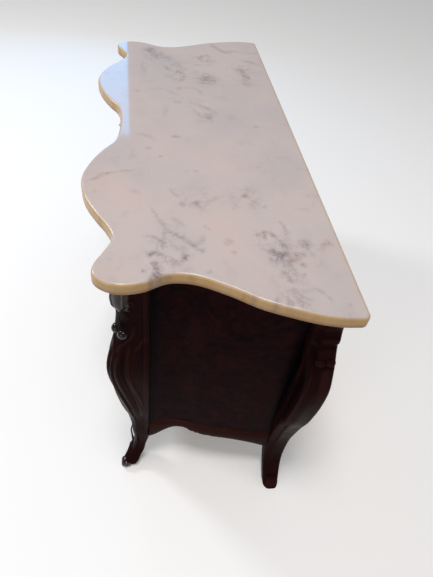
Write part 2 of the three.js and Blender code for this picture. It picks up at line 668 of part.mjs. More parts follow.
function plateBody() {
  const half = PLATE_LENGTH / 2;
  const others = PLATE_SHARES.flatMap(([share]) => [handleX - share * half, handleX + share * half]);
  return board(frontPlaces(handleX - half, handleX + half, others).map((x) => {
    const edge = (PLATE_HEIGHT / 2) * readCurve(PLATE_SHARES, Math.abs(x - handleX) / half);
    const seat = faceDepth(x) + SEAT_GAP;
    return { outer: [x, fromBack(seat + PLATE_THICK)], inner: [x, fromBack(seat)], low: -edge, high: edge };
  }));
}

function handlePost(x) {
  const inPlate = fromBack(faceDepth(x) + SEAT_GAP + PLATE_THICK / 2);
  const pivot = fromBack(pivotDepth);
  const tail = fromBack(faceDepth(x) - DRAWER_FRONT_THICK - STUD_TAIL);
  const nearFace = Math.min(faceDepth(x - NUT_RADIUS), faceDepth(x + NUT_RADIUS));
  const nutSeat = fromBack(nearFace - DRAWER_FRONT_THICK - SEAT_GAP);
  const head = new THREE.SphereGeometry(HEAD_RADIUS, ROUND_SIDES, HEAD_BANDS).rotateX(Math.PI / 2);
  return [
    rodAlongY(POST_RADIUS, ROUND_SIDES, x, pivot, inPlate, 0),
    rodAlongY(STUD_RADIUS, ROUND_SIDES, x, inPlate, tail, 0),
    rodAlongY(NUT_RADIUS, HEX_SIDES, x, nutSeat, nutSeat + NUT_THICK, 0),
    head.translate(x, pivot, 0),
  ];
}

function handlePlate() {
  const bores = studPlaces.map((x) => {
    const reach = HEAD_RADIUS + OVERRUN;
    return rodAlongX(PIN_RADIUS + PIN_CLEARANCE, ROUND_SIDES, x - reach, x + reach, fromBack(pivotDepth), 0);
  });
  return cut(join([plateBody(), ...studPlaces.flatMap(handlePost)]), bores);
}

// Bail round its pivot line
function bail() {
  const reach = POST_SPACING / 2;
  const half = BAIL_SHARES.map(([share, drop]) => new THREE.Vector3(share * reach, 0, -drop * BAIL_DROP));
  const top = new THREE.Vector3(half[0].x, 0, BAIL_RADIUS);
  const right = [top, ...half];
  const left = right.slice(0, -1).reverse().map((p) => new THREE.Vector3(-p.x, 0, p.z));
  const path = new THREE.CatmullRomCurve3([...right, ...left], false, 'centripetal');
  const circle = new THREE.Shape(Array.from({ length: ROUND_SIDES }, (_, i) => {
    const angle = ((i + 0.5) / ROUND_SIDES) * 2 * Math.PI;
    return new THREE.Vector2(BAIL_RADIUS * Math.cos(angle), BAIL_RADIUS * Math.sin(angle));
  }));
  const options = { steps: BAIL_STEPS, extrudePath: path, bevelEnabled: false };
  const rod = new THREE.ExtrudeGeometry(circle, options);
  const outer = reach + PIN_REACH;
  const pins = [
    rodAlongX(PIN_RADIUS, ROUND_SIDES, half[0].x, outer, 0, 0),
    rodAlongX(PIN_RADIUS, ROUND_SIDES, -outer, -half[0].x, 0, 0),
  ];
  return join([rod, ...pins]);
}

// Assembly
function add(parent, name, geometry, material, place = [0, 0, 0]) {
  const mesh = new THREE.Mesh(geometry, material);
  mesh.name = name;
  mesh.position.set(...place);
  parent.add(mesh);
}

function addPair(parent, name, geometry, material) {
  add(parent, `${name}_right`, geometry, material);
  add(parent, `${name}_left`, mirrored(geometry), material);
}

function makeCarcass() {
  const carcass = new THREE.Group();
  addPair(carcass, 'front_post', frontPost(), mahogany);
  addPair(carcass, 'back_post', backPost(), mahogany);
  addPair(carcass, 'side_panel', sidePanel(), veneer);
  addPair(carcass, 'side_rail', sideRail(), mahogany);
  addPair(carcass, 'side_apron', sideApron(), mahogany);
  add(carcass, 'front_top_rail', topRail(), mahogany);
  add(carcass, 'upper_divider', railAt(openings[0].low), mahogany);
  add(carcass, 'lower_divider', railAt(openings[1].low), mahogany);
  add(carcass, 'front_bottom_rail', railAt(BOTTOM_RAIL_TOP), mahogany);
  add(carcass, 'front_apron', frontApron(), mahogany);
  add(carcass, 'back_panel', backPanel(), paleWood);
  add(carcass, 'back_top_rail', backTopRail(), paleWood);
  add(carcass, 'back_bottom_rail', backBottomRail(), paleWood);
  add(carcass, 'bottom_board', bottomBoard(), paleWood);
  openings.forEach(({ name, low }) => addPair(carcass, `runner_${name}`, runner(low), paleWood));
  openings.forEach(({ name, low }) => add(carcass, `drawer_stop_${name}`, drawerStop(low), paleWood));
  addPair(carcass, 'front_glue_block', frontGlueBlock(), paleWood);
  addPair(carcass, 'back_glue_block', backGlueBlock(), paleWood);
  return carcass;
}

function makeDrawer({ name, low, high }) {
  const drawer = new THREE.Group();
  const height = high - low;
  const rise = handleRise(height);
  drawer.position.z = low;
  add(drawer, `drawer_front_${name}`, drawerFront(height), veneer);
  addPair(drawer, `drawer_side_${name}`, drawerSide(height), paleWood);
  add(drawer, `drawer_back_${name}`, drawerBack(height), paleWood);
  add(drawer, `drawer_floor_${name}`, drawerFloor(), paleWood);
  const plate = handlePlate();
  add(drawer, `handle_plate_${name}_right`, plate, brass, [0, 0, rise]);
  add(drawer, `handle_plate_${name}_left`, mirrored(plate), brass, [0, 0, rise]);
  add(drawer, `bail_${name}_right`, bail(), brass, [handleX, fromBack(pivotDepth), rise]);
  add(drawer, `bail_${name}_left`, bail(), brass, [-handleX, fromBack(pivotDepth), rise]);
  return drawer;
}

const commode = new THREE.Group();
commode.add(makeCarcass());
openings.forEach((opening) => commode.add(makeDrawer(opening)));
add(commode, 'marble_top', marbleTop(), marble, [0, 0, CARCASS_HEIGHT]);

export default commode;
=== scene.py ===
"""Crossbow commode chest: a veined marble slab on a mahogany case with carved legs and three drawers.

The construction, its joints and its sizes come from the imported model. This file gives each piece its fine
shape and its finish, in metres, with x along the length, the front towards -y and the floor at zero.
"""

import math

import bmesh
import bpy
from bpy.props import FloatProperty, FloatVectorProperty, IntProperty, PointerProperty
from mathutils import Matrix, Vector


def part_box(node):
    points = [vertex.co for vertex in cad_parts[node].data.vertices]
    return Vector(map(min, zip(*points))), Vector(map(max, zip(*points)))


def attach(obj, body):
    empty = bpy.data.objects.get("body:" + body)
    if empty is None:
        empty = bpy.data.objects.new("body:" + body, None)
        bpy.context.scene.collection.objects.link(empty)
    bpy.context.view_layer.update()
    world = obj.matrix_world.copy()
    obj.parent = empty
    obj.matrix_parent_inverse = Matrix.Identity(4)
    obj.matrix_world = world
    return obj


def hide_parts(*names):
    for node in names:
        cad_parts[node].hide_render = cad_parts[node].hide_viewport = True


bl_info = {
    "name": "Crossbow commode chest",
    "version": (1, 0, 0),
    "blender": (4, 5, 0),
    "location": "View3D > Sidebar > Commode",
    "description": "Models and finishes a marble-topped commode chest of three drawers around its frame",
    "category": "Add Mesh",
}

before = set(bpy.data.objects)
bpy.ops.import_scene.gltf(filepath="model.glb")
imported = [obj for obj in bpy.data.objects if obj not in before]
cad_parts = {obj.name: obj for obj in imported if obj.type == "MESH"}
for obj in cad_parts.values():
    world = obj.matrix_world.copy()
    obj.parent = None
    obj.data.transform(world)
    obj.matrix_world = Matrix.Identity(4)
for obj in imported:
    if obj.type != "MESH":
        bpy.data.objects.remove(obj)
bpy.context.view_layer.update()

CARCASS = "carcass"
SIDES = ("right", "left")
DRAWERS = ("top", "middle", "bottom")

marble_low, marble_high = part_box("marble_top")
LENGTH = marble_high.x - marble_low.x
DEPTH = marble_high.y - marble_low.y
HALF_LENGTH = LENGTH / 2
BACK_Y = marble_high.y
POST_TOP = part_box("front_post_right")[1].z


# Colours are picked as display values and turned into the linear ones that shaders use
def display(red, green, blue):
    def linear(value):
        share = value / 255
        return share / 12.92 if share <= 0.04045 else ((share + 0.055) / 1.055) ** 2.4

    return tuple(linear(value) for value in (red, green, blue))


def colour_property(name, description, red, green, blue):
    return FloatVectorProperty(
        name=name, description=description, subtype="COLOR", size=3, min=0, max=1,
        default=display(red, green, blue),
    )


def length_property(name, description, default):
    return FloatProperty(
        name=name, description=description, subtype="DISTANCE", unit="LENGTH", min=0, default=default
    )


def angle_property(name, description, default):
    return FloatProperty(name=name, description=description, subtype="ANGLE", default=default)


class MarbleSettings(bpy.types.PropertyGroup):
    """Sizes and colours of the marble slab."""

    arris: length_property("Arris", "Radius of the rounded upper edge", 0.007)
    lower_round: length_property("Lower round", "Radius of the rounded lower edge", 0.005)
    corner: length_property("Back corner", "Radius of the two back corners in plan", 0.014)
    ground: colour_property("Ground", "Main colour of the polished stone", 199, 186, 182)
    warm: colour_property("Warm ground", "Pinkish clouds in the stone", 206, 185, 177)
    cool: colour_property("Cool ground", "Greyish clouds in the stone", 184, 175, 175)
    vein: colour_property("Veins", "Grey veins and smudges", 120, 105, 106)
    rust: colour_property("Rusty veins", "Brown veins and spots", 146, 106, 88)
    honey: colour_property("Edge", "Upper half of the moulded edge, honey coloured", 205, 168, 112)
    amber: colour_property("Lower edge", "Lower half of the moulded edge", 158, 110, 66)


class WoodSettings(bpy.types.PropertyGroup):
    """Colours of the woods."""

    mahogany: colour_property("Mahogany", "Polished mahogany of the posts and rails", 46, 20, 20)
    # The dark grain colour also serves as the painted shade in the carved hollows
    mahogany_dark: colour_property("Mahogany grain", "Dark grain and hollows of the mahogany", 18, 8, 11)
    # Lighter colour of the carved ridges: partly worn stain, partly a painted highlight
    worn: colour_property("Worn mahogany", "Ridges where the stain has worn", 58, 31, 28)
    apron: colour_property("Side aprons", "Lighter brown of the side aprons", 60, 34, 29)
    apron_dark: colour_property("Side apron grain", "Grain of the side aprons", 34, 18, 17)
    burl: colour_property("Burl", "Reddish figure of the veneer", 46, 17, 20)
    burl_dark: colour_property("Dark burl", "Dark figure of the veneer", 11, 6, 10)
    shadow: colour_property("Shadow by the posts", "Veneer darkened beside the posts", 5, 5, 11)
    deal: colour_property("Deal", "Pale wood of the inside and the back", 186, 150, 104)
    deal_dark: colour_property("Deal grain", "Darker rings of the pale wood", 140, 102, 64)


class CarvingSettings(bpy.types.PropertyGroup):
    """Sizes of the carving on the posts and aprons."""

    ridge_height: length_property("Ridge height", "How far a carved ridge stands up", 0.0019)
    ridge_width: length_property("Ridge width", "Half of a carved ridge's width", 0.0044)
    channel: length_property("Channel", "How deep a channel beside a ridge is", 0.0018)
    rim_height: length_property("Rim height", "How far the rim of the shield stands up", 0.0022)
    rim_width: length_property("Rim width", "Half of the width of the shield's rim", 0.0022)
    rosette_radius: length_property("Rosette", "Radius of the small scroll beside the shield", 0.0085)
    shield_rise: length_property("Shield", "Height of the shield over the front post's corner", 0.009)
    scroll_radius: length_property("Scroll radius", "Radius of the small scrolls under the neck", 0.0122)
    scroll_sink: length_property("Scroll sink", "How far a scroll's middle lies below the surface", 0.004)
    toe_radius: length_property("Toe", "Radius of the roll at a front toe", 0.0142)
    toe_length: length_property("Toe length", "Length of the roll at a front toe", 0.03)
    around: IntProperty(name="Facets round", description="Facets round a post's corner", min=8, default=44)
    upwards: IntProperty(name="Facets up", description="Facets up a post", min=40, default=300)


class BrassSettings(bpy.types.PropertyGroup):
    """Sizes and colours of the handles."""

    plate_thick: length_property("Plate", "Thickness of a handle's plate", 0.003)
    bail_radius: length_property("Bail", "Radius of a bail at its middle", 0.0036)
    bright: colour_property("Brass", "Worn brass", 196, 154, 84)
    tarnish: colour_property("Tarnish", "Tarnished hollows of the brass", 92, 66, 34)


class StageSettings(bpy.types.PropertyGroup):
    """Floor, light and camera."""

    floor: colour_property("Floor", "Plain floor", 190, 183, 175)
    backdrop: colour_property("Backdrop", "Floor as the camera sees it", 247, 246, 245)
    lens: FloatProperty(
        name="Lens", description="Focal length of the camera", subtype="DISTANCE_CAMERA", default=29.525
    )
    camera_place: FloatVectorProperty(
        name="Camera place", description="Where the camera stands", subtype="TRANSLATION", size=3,
        default=(1.1832, -0.1265, 1.3809),
    )
    pitch: angle_property("Pitch", "Camera below the horizon", 0.790721)
    turn: angle_property("Turn", "Camera's turn from the -x direction", 0.209051)
    roll: angle_property("Roll", "Camera's roll", 0.152418)


SETTINGS = {
    "commode_marble": MarbleSettings,
    "commode_wood": WoodSettings,
    "commode_carving": CarvingSettings,
    "commode_brass": BrassSettings,
    "commode_stage": StageSettings,
}

# Half of the slab's plan from the middle of the front to the back edge: x as a share of half the length,
# and distance in front of the back edge as a share of the depth
OUTLINE_SHARES = (
    (0, 0.863), (0.078, 0.867), (0.139, 0.883), (0.198, 0.926), (0.281, 0.972), (0.382, 1),
    (0.489, 0.978), (0.573, 0.928), (0.63, 0.885), (0.686, 0.86), (0.742, 0.884), (0.796, 0.915),
    (0.835, 0.916), (0.864, 0.884), (0.8805, 0.825), (0.873, 0.75), (0.8395, 0.66), (0.842, 0.575),
    (0.884, 0.457), (0.933, 0.354), (0.966, 0.25), (0.99, 0.155), (1, 0.07),
)
OUTLINE_STEPS = 8
CORNER_STEPS = 8

# Posts: height share, share of the swell from ankle to knee, share of the taper towards the toe
FRONT_POST_SHARES = (
    (0, 0.2, 1.6), (0.008, 0.36, 1.5), (0.022, 0.42, 1.3), (0.034, 0.3, 1.1), (0.042, 0.02, 0.95),
    (0.05, -0.12, 0.8), (0.062, -0.22, 0.62), (0.08, -0.32, 0.5), (0.097, -0.38, 0.42), (0.133, -0.42, 0.2),
    (0.16, -0.37, 0.05), (0.2, -0.28, 0.02), (0.269, -0.2, 0), (0.333, -0.06, 0), (0.37, 0.13, 0),
    (0.412, 0.31, 0), (0.483, 0.54, 0), (0.553, 0.74, 0), (0.59, 0.84, 0), (0.635, 0.92, 0),
    (0.675, 0.92, 0), (0.7, 0.86, 0), (0.73, 0.74, 0), (0.76, 0.57, 0), (0.79, 0.45, 0),
    (0.835, 0.36, 0), (0.88, 0.31, 0), (0.905, 0.33, 0), (0.96, 0.36, 0), (1, 0.4, 0),
)
BACK_POST_SHARES = (
    (0, 0.93, 1), (0.027, 0.72, 0.84), (0.069, 0.35, 0.61), (0.116, 0.09, 0.4), (0.18, 0, 0.23),
    (0.263, 0.05, 0.14), (0.347, 0.26, 0), (0.412, 0.47, 0), (0.479, 0.73, 0), (0.553, 0.92, 0),
    (0.609, 1.02, 0), (0.661, 1.06, 0), (0.711, 1.02, 0), (0.751, 0.84, 0), (0.787, 0.63, 0),
    (0.809, 0.46, 0), (0.831, 0.31, 0), (0.845, 0.24, 0), (0.858, 0.31, 0), (0.887, 0.2, 0),
    (0.904, 0.16, 0), (0.926, 0.23, 0), (0.952, 0.33, 0), (1, 0.37, 0),
)
FRONT_INNER_SHARE = 0.1  # of the swell, at the inner end of a front post's front face
FRONT_SCROLL_HEIGHT_SHARE = 0.81
BACK_SCROLL_HEIGHT_SHARE = 0.797
FRONT_SCROLL_ANGLES = (-77, -31)
BACK_SCROLL_SHARES = (0.05, 0.62)

# Ridges on a post: height share, and place across the face, where 0 is the outer corner's middle, 1 the edge
# beside the panel on the front post and beside the back on the back post, and -1 the edge on the other side
FRONT_RIDGE_SHARES = (
    ((0.27, 0.24), (0.33, 0.22), (0.42, 0.2), (0.52, 0.07), (0.6, -0.02), (0.68, -0.04), (0.76, 0)),
    ((0.3, 0.37), (0.35, 0.41), (0.43, 0.4), (0.53, 0.3), (0.6, 0.22), (0.68, 0.16), (0.77, 0.16)),
    ((0.34, 0.6), (0.4, 0.68), (0.47, 0.76), (0.56, 0.61), (0.64, 0.5), (0.72, 0.42), (0.8, 0.38)),
)
FRONT_GROOVE_SHARES = (
    ((0.26, 0.32), (0.33, 0.33), (0.43, 0.29), (0.52, 0.18), (0.62, 0.09), (0.72, 0.06)),
    ((0.34, 0.55), (0.39, 0.6), (0.48, 0.54), (0.58, 0.44), (0.68, 0.33), (0.76, 0.28)),
)
# Leaves that rise from the knee to the scrolls
FRONT_LEAF_SHARES = (
    ((0.74, 0.05), (0.773, 0.16), (0.79, 0.28), (0.807, 0.4), (0.83, 0.48), (0.86, 0.5)),
    ((0.75, 0.56), (0.77, 0.66), (0.79, 0.76), (0.81, 0.84)),
)
BACK_RIDGE_SHARES = (
    ((0.3, -0.44), (0.36, -0.47), (0.46, -0.5), (0.56, -0.49), (0.69, -0.44), (0.78, -0.26), (0.84, -0.14)),
    ((0.4, 0.02), (0.5, -0.02), (0.6, -0.03), (0.68, -0.02), (0.74, 0.07), (0.79, 0.14)),
)
SHIELD_FOOT_SHARE = 0.905   # lowest point of the shield
SHIELD_HALF_SHARE = 0.27    # half of its width, across the outer corner
ROSETTE_SHARES = (0.942, 0.39)  # middle of the small scroll beside the shield
BEAD_SHARES = ((0.916, 0.34), (0.901, 0.29), (0.887, 0.3))
GROOVE_WIDTH = 0.0026
LEAF_RISE = 0.0022
LEAF_WIDTH = 0.004
LEAF_FADE_SHARE = 0.02      # height over which a leaf rises out of the wood
SHIELD_ROUND = 0.024        # height over which the shield widens from its foot
SHIELD_HOLLOW = 0.0012
ROSETTE_RISE = 0.0026
ROSETTE_TURNS = 7.5
BEAD_RISE = 0.0024
BEAD_RADIUS = 0.0034
STEM_RISE = 0.0016
STEM_WIDTH = 0.0024
STEM_SLANT = 5.2            # places that the stem crosses for each share of the height
NECK_HOLLOW = 0.0022
SHIELD_POLISH = 0.7
# Strips down the front post beside the panel: distance from its edge, half width, rise
PANEL_STRIP = (0.0085, 0.0036, 0.0014)
PANEL_GROOVE = (0.0145, 0.002, -0.0012)
FOOT_STRIP = (0.003, 0.0026, 0.0014)
# Rings round the back post: height share, half width, rise
CAPITAL_RING = (0.872, 0.005, 0.0024)
TOE_RING = (0.018, 0.014, 0.0026)
TOE_GROOVE = (0.048, 0.004, -0.0022)
NECK_RISE = 0.0018
REED_RISE = 0.002
BALL_AXIS = (0.05, -0.38, 0.92)  # way that the balls of the front posts are a little flattened
BALL_FLATNESS = 0.88
BUD_FLATNESS = 0.8          # the balls of the back posts are flattened upwards
TOE_OVERHANG = 0.0125       # end of the toe's roll past the sole
# Free edge of the leaf at the ankle: height share, and how far it stands in front of the leg
LEAF_EDGE_PLACES = (
    (0.25, -0.003), (0.21, 0.003), (0.16, 0.006), (0.11, 0.006), (0.07, 0.004), (0.045, -0.001),
)
LEAF_EDGE_INSET = 0.016     # from the leg's outer side
LEAF_EDGE_RADII = (0.0012, 0.0013)  # at its ends, and what its middle adds

# Ends: share of the way from the front post to the back post, share of the hollow or of the arch's rise
HOLLOW_SHARES = (
    (0, 0), (0.08, 0.6), (0.17, 1), (0.25, 0.94), (0.38, 0.5), (0.55, 0.12), (0.77, 0.03), (1, 0),
)
SIDE_ARCH_SHARES = (
    (0, 0.02), (0.056, 0.08), (0.11, 0.33), (0.178, 0.7), (0.23, 0.93), (0.3, 1), (0.352, 0.74),
    (0.44, 0.6), (0.57, 0.58), (0.66, 0.56), (0.8, 0.39), (0.89, 0.24), (1, 0),
)
# Front apron: share of the way from the middle to the post, share of the arch's rise
FRONT_ARCH_SHARES = (
    (0, 0.08), (0.05, 0.14), (0.11, 0.5), (0.17, 0.42), (0.24, 0.72), (0.36, 0.9), (0.52, 0.97),
    (0.66, 1), (0.76, 0.88), (0.84, 0.6), (0.91, 0.34), (0.96, 0.12), (1, 0.02),
)
# Handle plate: share of half its length, share of half its height
PLATE_SHARES = ((0, 1), (0.15, 0.9), (0.32, 0.56), (0.5, 0.78), (0.68, 1), (0.86, 0.62), (1, 0.14))
# Bail: share of half the spacing of its posts, share of its drop
BAIL_SHARES = ((0.74, 0), (0.66, 0.2), (0.7, 0.46), (0.62, 0.74), (0.4, 0.93), (0.2, 0.985), (0, 1))

# Veins and spots of the slab, placed in metres: half width, strength, then the points of the line
GREY_VEINS = (
    (0.0024, 0.6, (0.364, -0.118), (0.406, -0.102), (0.437, -0.09)),
    (0.0034, 0.95, (0.437, -0.09), (0.446, -0.075), (0.464, -0.057), (0.484, -0.04)),
    (0.0040, 0.85, (0.484, -0.04), (0.475, -0.02), (0.459, -0.012)),
    (0.0032, 0.7, (0.484, -0.036), (0.505, -0.021), (0.494, -0.013)),
    (0.0026, 0.65, (0.438, -0.089), (0.461, -0.092), (0.482, -0.098)),
    (0.0028, 0.65, (0.457, -0.129), (0.468, -0.105), (0.48, -0.098)),
    (0.0026, 0.6, (0.466, -0.085), (0.498, -0.07)),
    (0.0034, 0.8, (0.503, -0.127), (0.517, -0.117), (0.502, -0.113)),
    (0.0032, 0.8, (0.503, -0.116), (0.521, -0.086)),
    (0.0045, 1.4, (0.531, -0.112), (0.55, -0.109), (0.553, -0.098)),
    (0.0040, 1.5, (0.573, -0.116), (0.567, -0.104)),
    (0.0040, 1.2, (0.574, -0.119), (0.594, -0.118)),
    (0.0040, 0.8, (0.567, -0.096), (0.574, -0.085)),
    (0.0034, 0.9, (0.508, -0.054), (0.531, -0.061)),
    (0.0034, 0.7, (0.513, -0.055), (0.524, -0.052)),
    (0.0026, 0.9, (0.555, -0.136), (0.561, -0.133)),
    (0.0028, 0.6, (0.553, -0.016), (0.56, -0.012)),
    (0.0026, 0.55, (0.29, -0.074), (0.311, -0.069), (0.329, -0.059)),
    (0.0040, 0.85, (0.355, -0.057), (0.351, -0.05)),
    (0.0045, 0.55, (0.34, -0.026), (0.365, -0.014)),
    (0.0030, 0.6, (0.222, -0.039), (0.221, -0.031)),
    (0.0034, 0.6, (0.219, -0.018), (0.223, -0.012)),
    (0.0026, 0.55, (0.424, -0.006), (0.438, 0.001)),
    (0.0045, 0.4, (0.465, 0.03), (0.48, 0.034)),
    (0.0026, 0.5, (0.249, -0.228), (0.236, -0.202), (0.225, -0.154)),
    (0.0050, 0.35, (0.306, -0.157), (0.32, -0.142)),
    (0.0032, 0.9, (0.449, 0.093), (0.454, 0.099)),
    (0.0032, 0.9, (0.435, 0.114), (0.447, 0.109), (0.46, 0.11)),
    (0.0026, 0.9, (0.443, 0.124), (0.453, 0.133), (0.472, 0.141)),
    (0.0030, 0.65, (0.402, 0.153), (0.421, 0.16), (0.46, 0.161)),
    (0.0045, 0.85, (0.478, 0.144), (0.49, 0.151)),
    (0.0065, 0.85, (0.494, 0.116), (0.505, 0.124), (0.52, 0.137)),
    (0.0075, 0.6, (0.505, 0.135), (0.512, 0.146)),
    (0.0045, 0.6, (0.527, 0.135), (0.549, 0.136)),
    (0.0050, 1.0, (0.558, 0.123), (0.565, 0.13)),
    (0.0032, 0.8, (0.573, 0.136), (0.586, 0.146)),
    (0.0036, 1.0, (0.564, 0.164), (0.567, 0.171)),
    (0.0050, 0.55, (0.465, 0.18), (0.477, 0.188), (0.487, 0.198)),
    (0.0050, 0.6, (0.47, 0.194), (0.477, 0.208)),
    (0.0040, 0.5, (0.504, 0.198), (0.511, 0.202)),
    (0.0036, 1.1, (0.628, 0.103), (0.65, 0.102)),
    (0.0036, 0.8, (0.624, 0.125), (0.644, 0.124)),
    (0.0040, 0.8, (0.609, 0.143), (0.642, 0.145)),
    (0.0034, 0.8, (0.614, 0.063), (0.621, 0.069)),
    (0.0026, 0.5, (0.602, 0.183), (0.615, 0.197), (0.634, 0.204)),
    (0.0032, 0.7, (0.501, 0.035), (0.506, 0.042)),
    (0.0090, 1.0, (-0.538, -0.126), (-0.505, -0.115)),
    (0.0060, 0.7, (-0.499, -0.113), (-0.457, -0.096)),
    (0.0060, 0.5, (-0.487, -0.087), (-0.461, -0.074)),
    (0.0090, 0.5, (-0.474, -0.065), (-0.443, -0.049)),
    (0.0045, 0.5, (-0.415, -0.14), (-0.313, -0.137)),
    (0.0045, 0.5, (-0.396, -0.072), (-0.355, -0.05)),
    (0.0045, 0.5, (-0.396, -0.049), (-0.425, -0.028)),
    (0.0045, 0.6, (-0.35, -0.036), (-0.347, -0.019), (-0.303, -0.019), (-0.282, -0.029)),
    (0.0045, 0.6, (-0.243, -0.034), (-0.216, -0.03)),
    (0.0050, 0.5, (-0.198, -0.156), (-0.195, -0.147)),
    (0.0034, 0.45, (-0.212, -0.122), (-0.218, -0.08), (-0.181, -0.031)),
    (0.0034, 0.45, (-0.23, -0.029), (-0.237, 0.015), (-0.195, 0.037)),
    (0.0045, 0.6, (-0.461, 0.045), (-0.498, 0.055), (-0.514, 0.079), (-0.492, 0.088)),
    (0.0045, 0.5, (-0.456, 0.045), (-0.454, 0.069)),
    (0.0045, 0.5, (-0.412, 0.02), (-0.417, 0.046)),
    (0.0090, 0.9, (-0.316, 0.034), (-0.305, 0.056), (-0.334, 0.084)),
    (0.0050, 0.5, (-0.273, 0.037), (-0.296, 0.059)),
    (0.0040, 0.6, (-0.483, 0.189), (-0.478, 0.224), (-0.449, 0.252)),
    (0.0060, 0.7, (-0.424, 0.178), (-0.361, 0.183), (-0.337, 0.192)),
    (0.0080, 0.6, (-0.337, 0.192), (-0.276, 0.183)),
    (0.0050, 0.6, (-0.136, -0.045), (-0.136, -0.033)),
    (0.0045, 0.4, (-0.15, -0.006), (-0.121, 0.025), (-0.104, 0.048)),
    (0.0050, 0.9, (-0.082, 0.033), (-0.033, 0.046)),
    (0.0110, 0.3, (-0.066, 0.094), (-0.053, 0.115)),
    (0.0050, 0.5, (0.054, -0.15), (0.063, -0.129), (0.081, -0.111)),
    (0.0042, 0.9, (0.057, -0.057), (0.064, -0.051)),
    (0.0042, 0.8, (0.123, -0.125), (0.131, -0.118)),
    (0.0038, 0.8, (0.157, -0.094), (0.162, -0.091)),
    (0.0042, 0.8, (-0.015, 0.164), (-0.01, 0.17)),
    (0.0080, 0.25, (0.077, 0.102), (0.069, 0.124)),
)
RUSTY_VEINS = (
    (0.0032, 0.5, (0.402, -0.076), (0.424, -0.052)),
    (0.0030, 0.35, (0.403, -0.104), (0.41, -0.093)),
    (0.0040, 0.5, (0.508, -0.056), (0.528, -0.058)),
    (0.0040, 0.5, (0.34, -0.026), (0.347, -0.018)),
    (0.0040, 0.5, (0.353, -0.003), (0.337, 0.007), (0.319, 0.035)),
    (0.0030, 0.5, (0.274, -0.25), (0.26, -0.236), (0.236, -0.202)),
    (0.0040, 0.75, (0.318, 0.082), (0.305, 0.1)),
    (0.0040, 0.75, (0.312, 0.09), (0.325, 0.101)),
    (0.0055, 0.4, (0.336, 0.104), (0.344, 0.113)),
    (0.0050, 0.35, (0.364, 0.059), (0.349, 0.072)),
    (0.0038, 0.6, (0.347, 0.128), (0.353, 0.131)),
    (0.0042, 0.95, (0.526, 0.15), (0.532, 0.155)),
    (0.0036, 0.85, (0.501, 0.167), (0.512, 0.168), (0.525, 0.168)),
    (0.0048, 1.0, (0.509, 0.176), (0.513, 0.182)),
    (0.0034, 0.6, (0.532, 0.168), (0.541, 0.172), (0.537, 0.182)),
    (0.0046, 0.65, (0.482, 0.223), (0.466, 0.24), (0.48, 0.246)),
    (0.0034, 0.35, (0.496, 0.21), (0.488, 0.228)),
    (0.0028, 0.45, (0.606, 0.153), (0.609, 0.167), (0.602, 0.179)),
    (0.0028, 0.5, (0.641, 0.231), (0.646, 0.241)),
    (0.0048, 0.8, (0.61, 0.265), (0.613, 0.275)),
    (0.0045, 0.35, (0.481, 0.03), (0.467, 0.042)),
    (0.0060, 0.8, (-0.617, 0.097), (-0.577, 0.119), (-0.545, 0.146), (-0.569, 0.17)),
    (0.0038, 0.5, (-0.569, 0.17), (-0.552, 0.212), (-0.573, 0.268)),
    (0.0060, 0.4, (-0.42, 0.179), (-0.361, 0.184), (-0.337, 0.192)),
    (0.0045, 0.3, (-0.108, -0.073), (-0.041, -0.083)),
)
# Soft stains of the slab: x, y, half length, half width in metres, strength
PINK_CLOUDS = (
    (0.27, -0.2, 0.07, 0.05, 0.45), (0.33, -0.165, 0.05, 0.04, 0.4), (0.58, -0.2, 0.09, 0.05, 0.3),
    (0.41, 0.03, 0.05, 0.04, 0.35), (0.36, 0.08, 0.06, 0.05, 0.2), (0.47, 0.235, 0.05, 0.025, 0.4),
    (0.02, -0.1, 0.16, 0.05, 0.4), (-0.25, 0.2, 0.2, 0.05, 0.3), (0.15, 0.05, 0.12, 0.06, 0.25),
)
GREY_CLOUDS = (
    (-0.5, -0.11, 0.07, 0.04, 0.5), (-0.32, 0.05, 0.06, 0.05, 0.45), (0.51, 0.13, 0.05, 0.04, 0.45),
    (0.47, -0.06, 0.05, 0.05, 0.35), (-0.05, 0.09, 0.08, 0.06, 0.35), (-0.42, -0.05, 0.1, 0.06, 0.3),
)

TANGLES = (
    (0.51, -0.085, 0.06, 0.05, 0.9), (0.57, -0.1, 0.03, 0.03, 0.8), (0.44, -0.08, 0.05, 0.03, 0.6),
    (0.49, 0.13, 0.08, 0.055, 0.7), (0.56, 0.14, 0.06, 0.05, 0.6), (0.63, 0.14, 0.035, 0.05, 0.7),
    (0.5, 0.2, 0.05, 0.03, 0.6), (0.32, 0.09, 0.06, 0.04, 0.7), (0.33, -0.01, 0.05, 0.05, 0.7),
    (-0.49, -0.1, 0.09, 0.045, 1), (-0.35, -0.03, 0.1, 0.04, 0.9), (-0.47, 0.06, 0.06, 0.05, 0.9),
    (-0.31, 0.06, 0.06, 0.05, 0.9), (-0.38, 0.19, 0.12, 0.04, 0.8), (-0.08, 0.03, 0.08, 0.05, 0.8),
)

# Construction sizes that the fine pieces share with the frame
FRONT_SETBACK = 0.03
FRONT_CURVE_SHARE = 0.42
SIDE_RAIL_PROUD = 0.015
APRON_PROUD = 0.004
APRON_WAIST = 0.015
ARCH_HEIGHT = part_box("front_bottom_rail")[0].z - APRON_WAIST
FOOT_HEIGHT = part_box("side_apron_right")[0].z
POST_SPACING = 0.088


# Readings and paths
def read_curve(rows, key, column=1):
    """Smooth reading of a table whose first column rises."""
    last = len(rows) - 1
    after = next((i for i in range(1, last + 1) if rows[i][0] >= key), last)

    def slope(i):
        low, high = rows[max(i - 1, 0)], rows[min(i + 1, last)]
        return (high[column] - low[column]) / (high[0] - low[0])

    start, end = rows[after - 1], rows[after]
    span = end[0] - start[0]
    t = (key - start[0]) / span
    value = (1 + 2 * t) * (1 - t) ** 2 * start[column] + t * (1 - t) ** 2 * span * slope(after - 1)
    return value + t**2 * (3 - 2 * t) * end[column] + t**2 * (t - 1) * span * slope(after)


